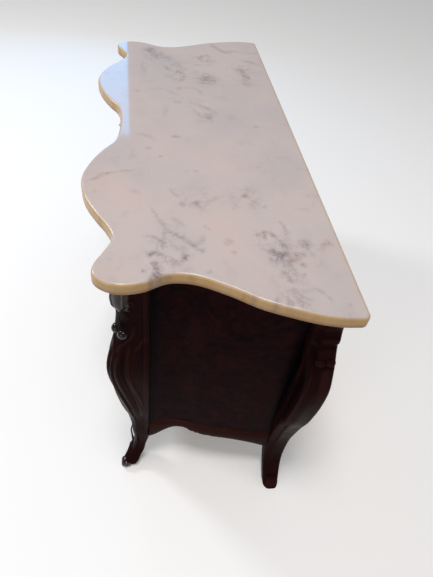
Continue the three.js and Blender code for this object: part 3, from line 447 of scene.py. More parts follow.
def read_line(rows, key):
    """Straight-line reading of a table of pairs."""
    last = len(rows) - 1
    after = next((i for i in range(1, last + 1) if rows[i][0] >= key), last)
    start, end = rows[after - 1], rows[after]
    return start[1] + (end[1] - start[1]) * (key - start[0]) / (end[0] - start[0])


def smooth_path(points, steps):
    """Points along a smooth curve through the given ones, whose bends don't overshoot."""
    points = [Vector(p) for p in points]
    before = points[0] * 2 - points[1]
    after = points[-1] * 2 - points[-2]
    known = [before, *points, after]
    path = []
    for i in range(1, len(known) - 2):
        p0, p1, p2, p3 = known[i - 1 : i + 3]
        d0, d1, d2 = (math.sqrt((b - a).length) for a, b in ((p0, p1), (p1, p2), (p2, p3)))
        start = ((p1 - p0) / d0 - (p2 - p0) / (d0 + d1) + (p2 - p1) / d1) * d1
        end = ((p2 - p1) / d1 - (p3 - p1) / (d1 + d2) + (p3 - p2) / d2) * d1
        for step in range(steps):
            t = step / steps
            path.append(
                p1 * (1 + 2 * t) * (1 - t) ** 2 + start * t * (1 - t) ** 2
                + p2 * t * t * (3 - 2 * t) + end * t * t * (t - 1)
            )
    return [*path, points[-1]]


def ease(value, low, high):
    """0 below low, 1 above high and a smooth rise in between."""
    t = min(max((value - low) / (high - low), 0), 1)
    return t * t * (3 - 2 * t)


def between(value, start, full, last, end):
    """0 outside start and end, 1 from full to last, with a smooth rise and fall."""
    return ease(value, start, full) * ease(-value, -end, -last)


def hump(distance, width):
    """1 at a distance of 0, falling away on both sides."""
    return math.exp(-((distance / width) ** 2))


def from_back(distance):
    """y at a distance in front of the slab's back edge."""
    return BACK_Y - distance


def half_outline():
    """The slab's right half in plan, from the middle of the front to the back: x, distance from the back."""
    points = [(x * HALF_LENGTH, d * DEPTH, 0) for x, d in OUTLINE_SHARES]
    lead = [(-x, d, 0) for x, d, _ in points[2:0:-1]]
    corner = bpy.context.scene.commode_marble.corner
    path = smooth_path([*lead, *points, (HALF_LENGTH, corner, 0)], OUTLINE_STEPS)[len(lead) * OUTLINE_STEPS :]
    samples = [(min(p.x, HALF_LENGTH), min(p.y, DEPTH)) for p in path]
    for step in range(1, CORNER_STEPS + 1):
        angle = step / CORNER_STEPS * math.pi / 2
        samples.append((HALF_LENGTH - corner * (1 - math.cos(angle)), corner * (1 - math.sin(angle))))
    return samples


# The case's front in plan, filled at its first use
front_line = []


def face_y(x):
    """y of the case's front at x, which follows the slab at a setback with gentler curves."""
    if not front_line:
        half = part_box("front_top_rail")[1].x
        edge = []
        for place, depth in half_outline():
            if edge and place <= edge[-1][0]:
                break
            edge.append((place, depth))
        least = min(depth for place, depth in edge if place <= half)
        for place, depth in edge:
            front_line.append((place, least + FRONT_CURVE_SHARE * (depth - least) - FRONT_SETBACK))
    return from_back(read_line(front_line, abs(x)))


# Modelling
def select_only(obj):
    bpy.ops.object.select_all(action="DESELECT")
    obj.select_set(True)
    bpy.context.view_layer.objects.active = obj


def named(obj, name):
    obj.name = name
    obj.data.name = name
    return obj


def edit(obj, *steps):
    """Runs mesh operators on all of an object in edit mode."""
    select_only(obj)
    bpy.ops.object.mode_set(mode="EDIT")
    for operator, options in steps:
        bpy.ops.mesh.select_all(action="SELECT")
        operator(**options)
    bpy.ops.object.mode_set(mode="OBJECT")


def apply_modifier(obj, kind, **options):
    modifier = obj.modifiers.new(kind.lower(), kind)
    for key, value in options.items():
        setattr(modifier, key, value)
    select_only(obj)
    bpy.ops.object.modifier_apply(modifier=modifier.name)


def smooth(obj, degrees=32):
    select_only(obj)
    bpy.ops.object.shade_smooth_by_angle(angle=math.radians(degrees))


def apply_place(obj):
    select_only(obj)
    bpy.ops.object.transform_apply(location=True, rotation=True, scale=True)


def skin(name, columns, rows, place, relief=None):
    """A closed piece from a grid: place(column, row) gives a point, and the columns go round and meet."""
    bpy.ops.object.select_all(action="DESELECT")
    bpy.ops.mesh.primitive_grid_add(x_subdivisions=columns, y_subdivisions=rows, size=LENGTH)
    obj = named(bpy.context.object, name)
    mesh = obj.data
    spots = [(i % columns, j) for j in range(rows + 1) for i in range(columns + 1)]
    mesh.vertices.foreach_set("co", [value for i, j in spots for value in place(i, j)])
    if relief:
        layer = mesh.attributes.new("relief", "FLOAT", "POINT")
        layer.data.foreach_set("value", [relief(i, j) for i, j in spots])
    edit(
        obj,
        (bpy.ops.mesh.remove_doubles, {"threshold": 1e-6}),
        (bpy.ops.mesh.fill_holes, {"sides": 0}),
        (bpy.ops.mesh.normals_make_consistent, {"inside": False}),
    )
    return obj


def joined(name, pieces):
    bpy.ops.object.select_all(action="DESELECT")
    for piece in pieces:
        piece.select_set(True)
    bpy.context.view_layer.objects.active = pieces[0]
    bpy.ops.object.join()
    return named(bpy.context.object, name)


def mirrored(obj, name):
    """A copy on the left, with its own mesh and its faces turned to point out again."""
    select_only(obj)
    bpy.ops.object.duplicate()
    copy = named(bpy.context.object, name)
    copy.data.transform(Matrix.Scale(-1, 4, (1, 0, 0)))
    edit(copy, (bpy.ops.mesh.flip_normals, {}))
    return copy


def turned(centre, axis, rings, sides):
    """A turned piece: each ring (distance along the axis, radius) is drawn out of a round blank."""
    axis = Vector(axis).normalized()
    start, radius = rings[0]
    bpy.ops.object.select_all(action="DESELECT")
    bpy.ops.mesh.primitive_circle_add(
        vertices=sides, radius=radius, fill_type="NGON", location=Vector(centre) + axis * start,
        rotation=axis.to_track_quat("Z", "Y").to_euler(),
    )
    obj = bpy.context.object
    apply_place(obj)
    bpy.ops.object.mode_set(mode="EDIT")
    bpy.ops.mesh.select_all(action="SELECT")
    for place, size in rings[1:]:
        bpy.ops.mesh.extrude_region_move(TRANSFORM_OT_translate={"value": axis * (place - start)})
        middle = Vector(centre) + axis * place
        bpy.ops.transform.resize(value=(size / radius,) * 3, center_override=middle)
        start, radius = place, size
    bpy.ops.mesh.select_all(action="SELECT")
    bpy.ops.mesh.normals_make_consistent(inside=False)
    bpy.ops.object.mode_set(mode="OBJECT")
    return obj


def tube(points, radii, sides):
    """A round rod along points, whose radius changes along it, as a closed mesh."""
    curve = bpy.data.curves.new("rod", "CURVE")
    curve.dimensions = "3D"
    curve.bevel_depth = 1
    curve.bevel_resolution = sides
    curve.use_fill_caps = True
    spline = curve.splines.new("POLY")
    spline.points.add(len(points) - 1)
    for point, place, radius in zip(spline.points, points, radii):
        point.co = (*place, 1)
        point.radius = radius
    obj = bpy.data.objects.new("rod", curve)
    bpy.context.scene.collection.objects.link(obj)
    select_only(obj)
    bpy.ops.object.convert(target="MESH")
    obj = bpy.context.object
    edit(
        obj,
        (bpy.ops.mesh.remove_doubles, {"threshold": 1e-6}),
        (bpy.ops.mesh.normals_make_consistent, {"inside": False}),
    )
    return obj


def ball(centre, radius, squash_axis=None, squash=1.0, segments=32, rings=20):
    bpy.ops.object.select_all(action="DESELECT")
    bpy.ops.mesh.primitive_uv_sphere_add(segments=segments, ring_count=rings, radius=radius, location=centre)
    obj = bpy.context.object
    apply_place(obj)
    if squash_axis:
        flatten = Matrix.Scale(squash, 4, Vector(squash_axis).normalized())
        obj.data.transform(Matrix.Translation(centre) @ flatten @ Matrix.Translation(-Vector(centre)))
    return obj


def finish(obj, material, slot, body, *nodes, degrees=32):
    """Smooths, finishes and seats a piece in the frame."""
    if degrees:
        smooth(obj, degrees)
    obj.data.materials.clear()
    obj.data.materials.append(material)
    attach(obj, body)
    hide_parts(*nodes)
    return obj


# Materials
class Wire:
    """One output of a node tree. Arithmetic on it adds Math nodes."""

    def __init__(self, graph, socket):
        self.graph = graph
        self.socket = socket

    def math(self, operation, *others, clamp=False):
        settings = {"operation": operation, "use_clamp": clamp}
        return self.graph.node("ShaderNodeMath", settings, *[(i, v) for i, v in enumerate((self, *others))])

    def __add__(self, other):
        return self.math("ADD", other)

    def __sub__(self, other):
        return self.math("SUBTRACT", other)

    def __mul__(self, other):
        return self.math("MULTIPLY", other)

    def __rsub__(self, other):
        return (self * -1).math("ADD", other)

    def ridge(self):
        """1 where a noise crosses its middle, falling to 0 away from it."""
        return 1 - (self * 2 - 1).math("ABSOLUTE")

    def step(self, low, high, top=1.0):
        """0 below low and the top value above high, with a smooth rise."""
        settings = {"interpolation_type": "SMOOTHSTEP"}
        values = [("From Min", low), ("From Max", high), ("To Max", top), ("Value", self)]
        return self.graph.node("ShaderNodeMapRange", settings, *values)


class Graph:
    """A material's node tree."""

    def __init__(self, name):
        self.material = bpy.data.materials.new(name)
        self.material.use_nodes = True
        self.tree = self.material.node_tree
        self.surface = self.tree.nodes["Principled BSDF"]

    def node(self, kind, settings=None, *values, output=0):
        node = self.tree.nodes.new(kind)
        for key, value in (settings or {}).items():
            setattr(node, key, value)
        for key, value in values:
            if isinstance(value, Wire):
                self.tree.links.new(value.socket, node.inputs[key])
            else:
                node.inputs[key].default_value = value
        return Wire(self, node.outputs[output])

    def place(self):
        return self.node("ShaderNodeTexCoord", output="Object")

    def split(self, vector):
        return [self.node("ShaderNodeSeparateXYZ", None, ("Vector", vector), output=i) for i in range(3)]

    def map(self, vector, place=(0, 0, 0), turn=(0, 0, 0), scale=(1, 1, 1), kind="POINT"):
        values = [("Vector", vector), ("Location", place), ("Rotation", turn), ("Scale", scale)]
        return self.node("ShaderNodeMapping", {"vector_type": kind}, *values)

    def noise(self, vector, scale, detail=3.0, rough=0.5, bend=0.0, output=0):
        values = [("Vector", vector), ("Scale", scale), ("Detail", detail)]
        values += [("Roughness", rough), ("Distortion", bend)]
        return self.node("ShaderNodeTexNoise", None, *values, output=output)

    def cells(self, vector, scale):
        return self.node("ShaderNodeTexVoronoi", None, ("Vector", vector), ("Scale", scale))

    def vectors(self, operation, a, b):
        return self.node("ShaderNodeVectorMath", {"operation": operation}, (0, a), (1, b))

    def length(self, vector):
        return self.node("ShaderNodeVectorMath", {"operation": "LENGTH"}, (0, vector), output="Value")

    def warped(self, vector, scale, reach, detail=2.0):
        """The vector pushed about by up to half the reach."""
        push = self.noise(vector, scale, detail, output="Color")
        centred = self.vectors("SUBTRACT", push, (0.5, 0.5, 0.5))
        return self.vectors("ADD", vector, self.vectors("MULTIPLY", centred, (reach, reach, reach)))

    def mix(self, share, a, b):
        """Colour a where the share is 0 and b where it is 1, through the node's colour sockets."""
        colours = [(6, a if isinstance(a, Wire) else (*a, 1)), (7, b if isinstance(b, Wire) else (*b, 1))]
        return self.node("ShaderNodeMix", {"data_type": "RGBA"}, (0, share), *colours, output=2)

    def set(self, **values):
        for key, value in values.items():
            socket = self.surface.inputs[key.replace("_", " ")]
            if isinstance(value, Wire):
                self.tree.links.new(value.socket, socket)
            else:
                socket.default_value = value

    def bump(self, height, strength, distance):
        values = [("Height", height), ("Strength", strength), ("Distance", distance)]
        normal = self.node("ShaderNodeBump", None, *values)
        self.tree.links.new(normal.socket, self.surface.inputs["Normal"])


materials = {}


def material(name, build):
    """The named material, built the first time that a piece asks for it."""
    if name not in materials:
        graph = Graph(name)
        build(graph)
        materials[name] = graph.material
    return materials[name]


UNREAD = 10000  # a spot's height is divided by this, so that it counts for nothing
# A spot fades towards its rim, so it is drawn larger than the vein or stain that it stands for
VEIN_OVERLAP = 0.62
VEIN_SPREAD = 2.5
CLOUD_SPREAD = 1.1


def spots(g, place, shapes):
    """Cover of soft oval spots. The cover so far rides along as the point's height, which no spot reads."""
    for x, y, half_length, half_width, angle, strength in shapes:
        spot = g.map(place, (x, y, 0), (0, 0, angle), (half_length, half_width, UNREAD), "TEXTURE")
        cover = g.length(spot).step(1.2, 0.1, strength)
        place = g.vectors("ADD", place, g.node("ShaderNodeCombineXYZ", None, ("Z", cover)))
    return g.split(place)[2]


def veins(g, place, lines):
    """Cover of the listed veins: each stretch of a line is a long spot."""
    shapes = []
    for half_width, strength, *points in lines:
        for (x1, y1), (x2, y2) in zip(points, points[1:]):
            half_length = math.hypot(x2 - x1, y2 - y1) * VEIN_OVERLAP + half_width
            turn = math.atan2(y2 - y1, x2 - x1)
            spread = half_width * VEIN_SPREAD
            shapes.append(((x1 + x2) / 2, (y1 + y2) / 2, half_length, spread, turn, strength))
    return spots(g, place, shapes)


def clouds(g, place, patches):
    """Cover of the soft stains, which lie square to the slab."""
    shapes = []
    for x, y, length, width, strength in patches:
        shapes.append((x, y, length * CLOUD_SPREAD, width * CLOUD_SPREAD, 0, strength))
    return spots(g, place, shapes)


# Where one look of the slab passes into the next, from the face that is named
BACK_STRIP_FROM_BACK = (0.012, 0.004)
EDGE_FROM_TOP = (0.0006, 0.0035)
RIM_FROM_TOP = (0.0001, 0.0008)
AMBER_FROM_BELOW = (0.014, 0.002)


def marble_finish(g):
    """Polished stone: pinkish grey clouds, soft grey and rusty veins, honey coloured moulded edge."""
    look = bpy.context.scene.commode_marble
    place = g.place()
    flat = g.vectors("MULTIPLY", place, (1, 1, 0))
    wavy = g.warped(g.warped(flat, 22, 0.014), 110, 0.009, 4)
    bent = g.warped(g.warped(place, 9, 0.03), 42, 0.01, 3)

    cool = g.noise(bent, 4.2, 4, 0.6).step(0.38, 0.66) * 0.5
    cool += clouds(g, wavy, GREY_CLOUDS)
    blush = g.noise(g.map(bent, place=(3, 1, 0)), 5.5, 4, 0.6).step(0.45, 0.72) * 0.55
    blush += clouds(g, wavy, PINK_CLOUDS)
    warm = g.mix(blush.math("MINIMUM", 1.0), look.ground[:], look.warm[:])
    ground = g.mix(cool.math("MINIMUM", 1.0), warm, look.cool[:])

    torn = g.warped(g.warped(flat, 30, 0.02), 130, 0.012, 4)
    threads = g.noise(torn, 62, 5, 0.68).ridge().step(0.8, 0.97) * g.noise(torn, 30, 3).step(0.44, 0.6)
    tangle = threads * clouds(g, wavy, TANGLES)
    smoke = g.noise(bent, 24, 6, 0.68).step(0.5, 0.78)
    smoke *= g.noise(g.map(place, place=(7, 2, 0)), 7, 2).step(0.4, 0.66)
    uneven = g.noise(flat, 85, 4, 0.65).step(0.3, 0.7) * 0.85 + 0.25
    grey = veins(g, torn, GREY_VEINS) * 0.5 * uneven + smoke * 0.3 + tangle * 0.42
    grey_share = grey.math("MINIMUM", 0.85)
    rusty_share = (veins(g, wavy, RUSTY_VEINS) * 0.55 * uneven).math("MINIMUM", 0.85)
    stone = g.mix(rusty_share, g.mix(grey_share, ground, look.vein[:]), look.rust[:])

    _, y, height = g.split(place)
    behind = y.step(BACK_Y - BACK_STRIP_FROM_BACK[0], BACK_Y - BACK_STRIP_FROM_BACK[1])
    stone = g.mix(behind * 0.35, stone, look.honey[:])
    top, low = marble_high.z, marble_low.z
    edge = height.step(top - EDGE_FROM_TOP[0], top - EDGE_FROM_TOP[1])
    lower = height.step(low + AMBER_FROM_BELOW[0], low + AMBER_FROM_BELOW[1])
    band = g.mix(lower, look.honey[:], look.amber[:])
    stains = g.noise(g.map(place, scale=(1, 1, 0.35)), 34, 4, 0.6)
    stained = g.mix(stains.step(0.5, 0.75) * 0.45, band, look.amber[:])
    mottled = g.mix((1 - stains).step(0.52, 0.75) * 0.4, stained, look.ground[:])
    veined_band = g.mix((grey_share * 0.9).math("MINIMUM", 0.75), mottled, look.vein[:])
    g.set(Base_Color=g.mix(edge, stone, veined_band), IOR=1.5)
    rim = height.step(top - RIM_FROM_TOP[0], top - RIM_FROM_TOP[1])
    g.set(Roughness=g.noise(place, 26, 4).step(0.2, 0.9) * 0.03 + 0.05 + rim * 0.24)
    g.bump(g.noise(place, 5, 2) * 0.4 + g.noise(place, 170, 2) * 0.03, 0.08, 0.003)


def mahogany_finish(stretch, light="mahogany", deep="mahogany_dark"):
    """Polished mahogany whose grain runs along the shortest of the stretch values, with painted shade in the
    carved hollows, a painted shadow on a post's shaded face and a painted highlight, with some wear, on the
    ridges.
    """

    def build(g):
        look = bpy.context.scene.commode_wood
        place = g.place()
        along = g.map(g.warped(place, 5, 0.03), scale=stretch)
        stripe = g.noise(along, 30, 5, 0.62, 0.4).step(0.3, 0.72)
        pores = g.noise(along, 260, 2, 0.6).step(0.55, 0.75)
        patches = g.noise(place, 6, 3, 0.5).step(0.35, 0.7)
        relief = g.node("ShaderNodeAttribute", {"attribute_name": "relief"}, output="Fac")
        # Painted shade: carved hollows are darkened as if shade lay in them
        hollow = (relief * -1).step(0.0, 0.9)
        # Painted highlight, with some wear: raised carving takes the lighter ridge colour
        raised = relief.step(0.3, 1.0) * relief.step(2.4, 1.6)
        dark = (1 - stripe) * 0.5 + pores * 0.25 + patches * 0.2 + hollow * 0.5
        wood = g.mix(dark.math("MINIMUM", 0.95), getattr(look, light)[:], getattr(look, deep)[:])
        # Painted shadow: the part of a post's face that is marked as lying in shade takes the shadow colour
        beside = g.mix(relief.step(-1.3, -1.8), wood, look.shadow[:])
        g.set(Base_Color=g.mix(raised * 0.5, beside, look.worn[:]), IOR=1.5)
        g.set(Roughness=g.noise(place, 22, 4, 0.6).step(0.25, 0.85) * 0.16 + 0.22 - raised * 0.05)
        bright = g.node("ShaderNodeAttribute", {"attribute_name": "polish"}, output="Fac")
        g.set(Specular_IOR_Level=0.01, Coat_Weight=bright, Coat_Roughness=0.12, Coat_IOR=1.4)
        g.bump(pores * -0.3 + g.noise(along, 22, 3) * 0.5, 0.2, 0.0012)

    return build


# Shadow on the veneer of the end panels: where it starts and is full from the panel's end, and its strength
FRONT_SHADOW = (0.022, 0.004, 0.75)
BACK_SHADOW = (0.03, 0.004, 0.6)
SHADOW_FROM_X = (0.505, 0.515)  # the veneer of the drawers lies nearer the middle and stays clear of it


def burl_finish(g):
    """Veneer with a swirling, mottled figure, and a painted shadow beside the posts."""
    look = bpy.context.scene.commode_wood
    place = g.place()
    swirl = g.warped(g.warped(place, 7, 0.09), 23, 0.03, 3)
    figure = g.noise(swirl, 20, 6, 0.64, 1.1).step(0.34, 0.68)
    eyes = g.cells(swirl, 26).step(0.02, 0.26)
    curls = g.noise(swirl, 9, 5, 0.6, 2.2).ridge().step(0.55, 1.0)
    pores = g.noise(g.map(place, scale=(1, 1, 0.3)), 330, 2).step(0.56, 0.74)
    light = figure * 0.55 + curls * 0.4 - (1 - eyes) * 0.35 - pores * 0.15
    wood = g.mix(light.math("MULTIPLY", 1.0, clamp=True), look.burl_dark[:], look.burl[:])
    x, y, _ = g.split(place)
    start, full, strength = FRONT_SHADOW
    before = y.step(from_back(PANEL_FRONT) + start, from_back(PANEL_FRONT) + full, strength)
    start, full, strength = BACK_SHADOW
    behind = y.step(from_back(PANEL_BACK) - start, from_back(PANEL_BACK) - full, strength)
    at_end = x.math("ABSOLUTE").step(*SHADOW_FROM_X)
    # Painted shadow: the end panels' veneer darkens towards the posts
    g.set(Base_Color=g.mix((before + behind) * at_end, wood, look.shadow[:]), IOR=1.5)
    g.set(Roughness=g.noise(place, 14, 4, 0.6).step(0.25, 0.85) * 0.14 + 0.18)
    g.set(Specular_IOR_Level=0.012)
    g.bump(g.noise(swirl, 30, 4) * 0.5 - pores * 0.3, 0.14, 0.001)


def deal_finish(stretch):
    """Plain pale wood with rings along the longest run of the board, darkened with age."""

    def build(g):
        look = bpy.context.scene.commode_wood
        place = g.place()
        along = g.map(g.warped(place, 4, 0.02), scale=stretch)
        rings = g.noise(along, 34, 3, 0.5, 0.7).ridge().step(0.35, 0.95)
        fibres = g.noise(along, 240, 3, 0.6).step(0.4, 0.7)
        grime = g.noise(place, 5, 5, 0.6).step(0.45, 0.8)
        knots = g.cells(place, 5).step(0.03, 0.008)
        dark = rings * 0.4 + fibres * 0.2 + grime * 0.35 + knots * 0.6
        wood = g.mix(dark.math("MINIMUM", 1.0), look.deal[:], look.deal_dark[:])
        g.set(Base_Color=wood, Roughness=g.noise(along, 60, 3).step(0.2, 0.8) * 0.15 + 0.6)
        g.bump(fibres * 0.4 + rings * 0.3, 0.3, 0.0012)

    return build


def brass_finish(g):
    """Lacquered brass gone brown in its hollows."""
    look = bpy.context.scene.commode_brass
    place = g.place()
    relief = g.node("ShaderNodeAttribute", {"attribute_name": "relief"}, output="Fac")
    grime = g.noise(place, 90, 5, 0.6).step(0.42, 0.72) * 0.5 + (relief * -1).step(-0.2, 0.8) * 0.5
    g.set(Base_Color=g.mix(grime, look.bright[:], look.tarnish[:]), Metallic=1.0)
    g.set(Roughness=grime * 0.25 + 0.24)
    g.bump(g.noise(place, 260, 3), 0.12, 0.0006)


def mahogany_upright():
    return material("mahogany_upright", mahogany_finish((1, 1, 0.09)))


def mahogany_long():
    return material("mahogany_long", mahogany_finish((0.09, 1, 1)))


def mahogany_deep():
    return material("mahogany_deep", mahogany_finish((1, 0.09, 1)))


def mahogany_apron():
    return material("mahogany_apron", mahogany_finish((1, 0.09, 1), "apron", "apron_dark"))


def burl():
    return material("burl_veneer", burl_finish)


def brass():
    return material("worn_brass", brass_finish)


# Marble slab
def make_marble_top():
    look = bpy.context.scene.commode_marble
    right = [(x, from_back(d)) for x, d in half_outline()]
    outline = right + [(-x, y) for x, y in reversed(right[1:])]
    bpy.ops.object.select_all(action="DESELECT")
    bpy.ops.mesh.primitive_circle_add(
        vertices=len(outline), radius=HALF_LENGTH, fill_type="NGON", location=(0, 0, marble_low.z)
    )
    slab = named(bpy.context.object, "marble_slab")
    apply_place(slab)
    for vertex, (x, y) in zip(slab.data.vertices, outline):
        vertex.co = (x, y, marble_low.z)
    thick = marble_high.z - marble_low.z
    edit(slab, (bpy.ops.mesh.extrude_region_move, {"TRANSFORM_OT_translate": {"value": (0, 0, thick)}}),
         (bpy.ops.mesh.normals_make_consistent, {"inside": False}))
    round_edges(slab, {marble_high.z: look.arris, marble_low.z: look.lower_round})
    smooth(slab)
    apply_modifier(slab, "WEIGHTED_NORMAL", weight=100, keep_sharp=True)
    finish(slab, material("veined_marble", marble_finish), "marble", CARCASS, "marble_top", degrees=None)


def round_edges(obj, radius_at):
    """Rounds the level edges at each height by its own radius."""
    widest = max(radius_at.values())
    mesh = bmesh.new()
    mesh.from_mesh(obj.data)
    weight = mesh.edges.layers.float.new("bevel_weight_edge")
    for edge in mesh.edges:
        for height, radius in radius_at.items():
            if all(abs(v.co.z - height) < 1e-6 for v in edge.verts):
                edge[weight] = radius / widest
    mesh.to_mesh(obj.data)
    mesh.free()
    apply_modifier(obj, "BEVEL", limit_method="WEIGHT", width=widest, segments=7, use_clamp_overlap=False)


# Corner posts
FRONT_POST = {
    "table": FRONT_POST_SHARES, "low_x": 0.4943, "taper_x": 0.022, "high_x": 0.5623, "swell_x": 0.029,
    "front": 0.4452, "swell_y": 0.041, "taper_front": 0.0, "back": 0.3872, "taper_back": 0.025,
    "round": 0.032, "flank_round": 0.012, "shade_from": -2,
}
BACK_POST = {
    "table": BACK_POST_SHARES, "low_x": 0.545, "taper_x": 0.077, "high_x": 0.611, "swell_x": 0.057,
    "front": 0.066, "swell_y": 0.0, "taper_front": -0.01, "back": 0.004, "taper_back": 0.011,
    "round": 0.024, "flank_round": 0.012, "shade_from": -0.42,
}
INNER_ROUND = 0.004
ROUND_LIMIT = 0.86  # of half the narrower side


class PostSection:
    """A post's rounded rectangle at one height, walked from its front face's inner end round to the back.

    Low x is the inner side and high x the outer one. A shape's swells and tapers count times the shares
    in its table.
    """

    def __init__(self, shape, height):
        swell = read_curve(shape["table"], height)
        taper = read_curve(shape["table"], height, 2)
        self.low_x = shape["low_x"] + shape["taper_x"] * taper
        self.high_x = shape["high_x"] + shape["swell_x"] * swell
        front = shape["front"] + shape["taper_front"] * taper
        self.low_y = from_back(front + shape["swell_y"] * swell)
        self.inner_y = from_back(front + shape["swell_y"] * min(swell, FRONT_INNER_SHARE * max(swell, 0)))
        self.high_y = from_back(shape["back"] + shape["taper_back"] * taper)
        limit = min(self.high_x - self.low_x, self.high_y - self.low_y) / 2 * ROUND_LIMIT
        self.round = min(shape["round"], limit)
        self.flank_round = min(shape["flank_round"], limit)
        self.quarter = self.round * math.pi / 4
        self.side = self.high_y - self.low_y - self.round - self.flank_round
        self.face = self.high_x - self.low_x - self.round - INNER_ROUND
        self.reach = self.quarter + self.side + self.flank_round * math.pi / 4
        self.face_reach = self.quarter + self.face
        self.z = height * POST_TOP

    def on(self, place):
        """Point and outward direction at a place: 0 the outer corner, 1 the flank, -1 the inner end."""
        x, y = self.high_x - self.round, self.low_y + self.round
        run = place * (self.reach if place >= 0 else self.face_reach)
        if abs(run) <= self.quarter:
            angle = run / self.round - math.pi / 4
            out = (math.cos(angle), math.sin(angle))
            return (x + self.round * out[0], y + self.round * out[1]), out
        if run < 0:
            share = -(run + self.quarter) / self.face
            return (x + run + self.quarter, self.low_y + (self.inner_y - self.low_y) * share), (0, -1)
        run -= self.quarter
        if run <= self.side:
            return (self.high_x, y + run), (1, 0)
        return self.corner("flank", (run - self.side) / self.flank_round)

    def corner(self, which, angle):
        radius = self.flank_round if which == "flank" else INNER_ROUND
        x, y, start = {
            "flank": (self.high_x - radius, self.high_y - radius, 0),
            "back": (self.low_x + radius, self.high_y - radius, math.pi / 2),
            "front": (self.low_x + radius, self.inner_y + radius, math.pi),
        }[which]
        out = (math.cos(start + angle), math.sin(start + angle))
        return (x + radius * out[0], y + radius * out[1]), out


def line_relief(lines, height, place, reach, width, fade=0.05):
    """How far a point is under carved lines that run up the post: 1 on a line, 0 away from it."""
    total = 0.0
    for line in lines:
        low, high = line[0][0], line[-1][0]
        middle = read_curve(line, min(max(height, low), high))
        ends = ease(height, low - 0.01, low + fade) * ease(-height, -high - 0.01, -high + fade)
        total += ends * hump((place - middle) * reach, width)
    return total


def spot_relief(spot, height, place, reach, radius):
    """A point's distance from a spot on the post, in radii, and its angle round the spot."""
    across, up = (place - spot[1]) * reach, (height - spot[0]) * POST_TOP
    return math.hypot(across, up) / radius, math.atan2(up, across)


def strip_relief(strip, edge):
    """Rise of a strip at a distance from the post's edge."""
    middle, width, rise = strip
    return rise * hump(edge - middle, width)


def ring_relief(ring, height):
    """Rise of a ring round the back post."""
    share, width, rise = ring
    return rise * hump((height - share) * POST_TOP, width)


def shield_relief(height, place, reach):
    """Shield over the outer corner: a hollow field in a raised rim, its foot a round point."""
    cut = bpy.context.scene.commode_carving
    half = SHIELD_HALF_SHARE * reach
    across = abs(place) * reach
    foot = (height - SHIELD_FOOT_SHARE) * POST_TOP
    side = half * math.sqrt(min(max(foot / SHIELD_ROUND, 0), 1))
    gap = side - across
    rim = cut.rim_height * hump(min(gap, foot) - cut.rim_width, cut.rim_width) if foot > -0.006 else 0.0
    field = SHIELD_HOLLOW * ease(min(gap, foot), 0.003, 0.009)
    # The whole shield stands out most just above its foot and sinks back towards the slab
    swell = ease(foot, -0.004, 0.012) * (1 - 0.75 * ease(foot, 0.015, 0.07))
    return rim - field + cut.shield_rise * swell * ease(gap, -0.006, 0.004)


def front_carving(section, height, place):
    """Relief of the front post: ridges and leaves, shield, rosette and beads, stem and strip by the panel."""
    cut = bpy.context.scene.commode_carving
    reach = section.reach if place >= 0 else section.face_reach
    mirror = abs(place)
    relief = cut.ridge_height * line_relief(FRONT_RIDGE_SHARES, height, mirror, reach, cut.ridge_width)
    relief -= cut.channel * line_relief(FRONT_GROOVE_SHARES, height, mirror, reach, GROOVE_WIDTH)
    relief += LEAF_RISE * line_relief(FRONT_LEAF_SHARES, height, mirror, reach, LEAF_WIDTH, LEAF_FADE_SHARE)
    if height > SHIELD_FOOT_SHARE - 0.02:
        relief += shield_relief(height, place, reach)
        away, turn = spot_relief(ROSETTE_SHARES, height, mirror, reach, cut.rosette_radius)
        if away < 1.4:
            coil = math.cos(turn + away * ROSETTE_TURNS)
            relief += ROSETTE_RISE * ease(1.25 - away, 0, 0.3) * (0.65 + 0.35 * coil)
    for bead in BEAD_SHARES:
        away, _ = spot_relief(bead, height, mirror, reach, BEAD_RADIUS)
        if away < 1:
            relief += BEAD_RISE * math.sqrt(1 - away * away)
    stem = SHIELD_HALF_SHARE - (SHIELD_FOOT_SHARE - height) * STEM_SLANT
    along_stem = between(height, 0.832, 0.85, 0.895, SHIELD_FOOT_SHARE)
    relief += STEM_RISE * hump((mirror - stem) * reach, STEM_WIDTH) * along_stem
    relief -= NECK_HOLLOW * hump((mirror - 0.12) * reach, 0.009) * hump((height - 0.86) * POST_TOP, 0.014)
    if place > 0:
        edge = (1 - place) * reach
        by_panel = strip_relief(PANEL_STRIP, edge) + strip_relief(PANEL_GROOVE, edge)
        relief += by_panel * ease(height, 0.2, 0.3)
        relief += strip_relief(FOOT_STRIP, edge) * ease(-height, -0.24, -0.2)
    return relief


def back_carving(section, height, place):
    """Relief of the back post: ridges over the knee, capital, neck block, reed and roll of the toe."""
    cut = bpy.context.scene.commode_carving
    reach = section.reach if place >= 0 else section.face_reach
    relief = 0.8 * cut.ridge_height * line_relief(BACK_RIDGE_SHARES, height, place, reach, cut.ridge_width)
    near, far = (read_curve(line, min(max(height, line[0][0]), line[-1][0])) for line in BACK_RIDGE_SHARES)
    if near < place < far:
        share = (place - near) / (far - near)
        relief -= cut.channel * math.sin(math.pi * share) ** 2 * between(height, 0.42, 0.52, 0.7, 0.8)
    outer = ease(place, 0.18, 0.3) * ease(1 - place, 0.0, 0.08)
    relief += outer * ring_relief(CAPITAL_RING, height)
    relief += NECK_RISE * outer * between(height, 0.8, 0.808, 0.832, 0.84)
    relief += REED_RISE * hump((place - 0.66) * reach, 0.014) * between(height, 0.6, 0.7, 0.775, 0.785)
    relief += ease(place, 0, 0.2) * (ring_relief(TOE_RING, height) + ring_relief(TOE_GROOVE, height))
    return relief


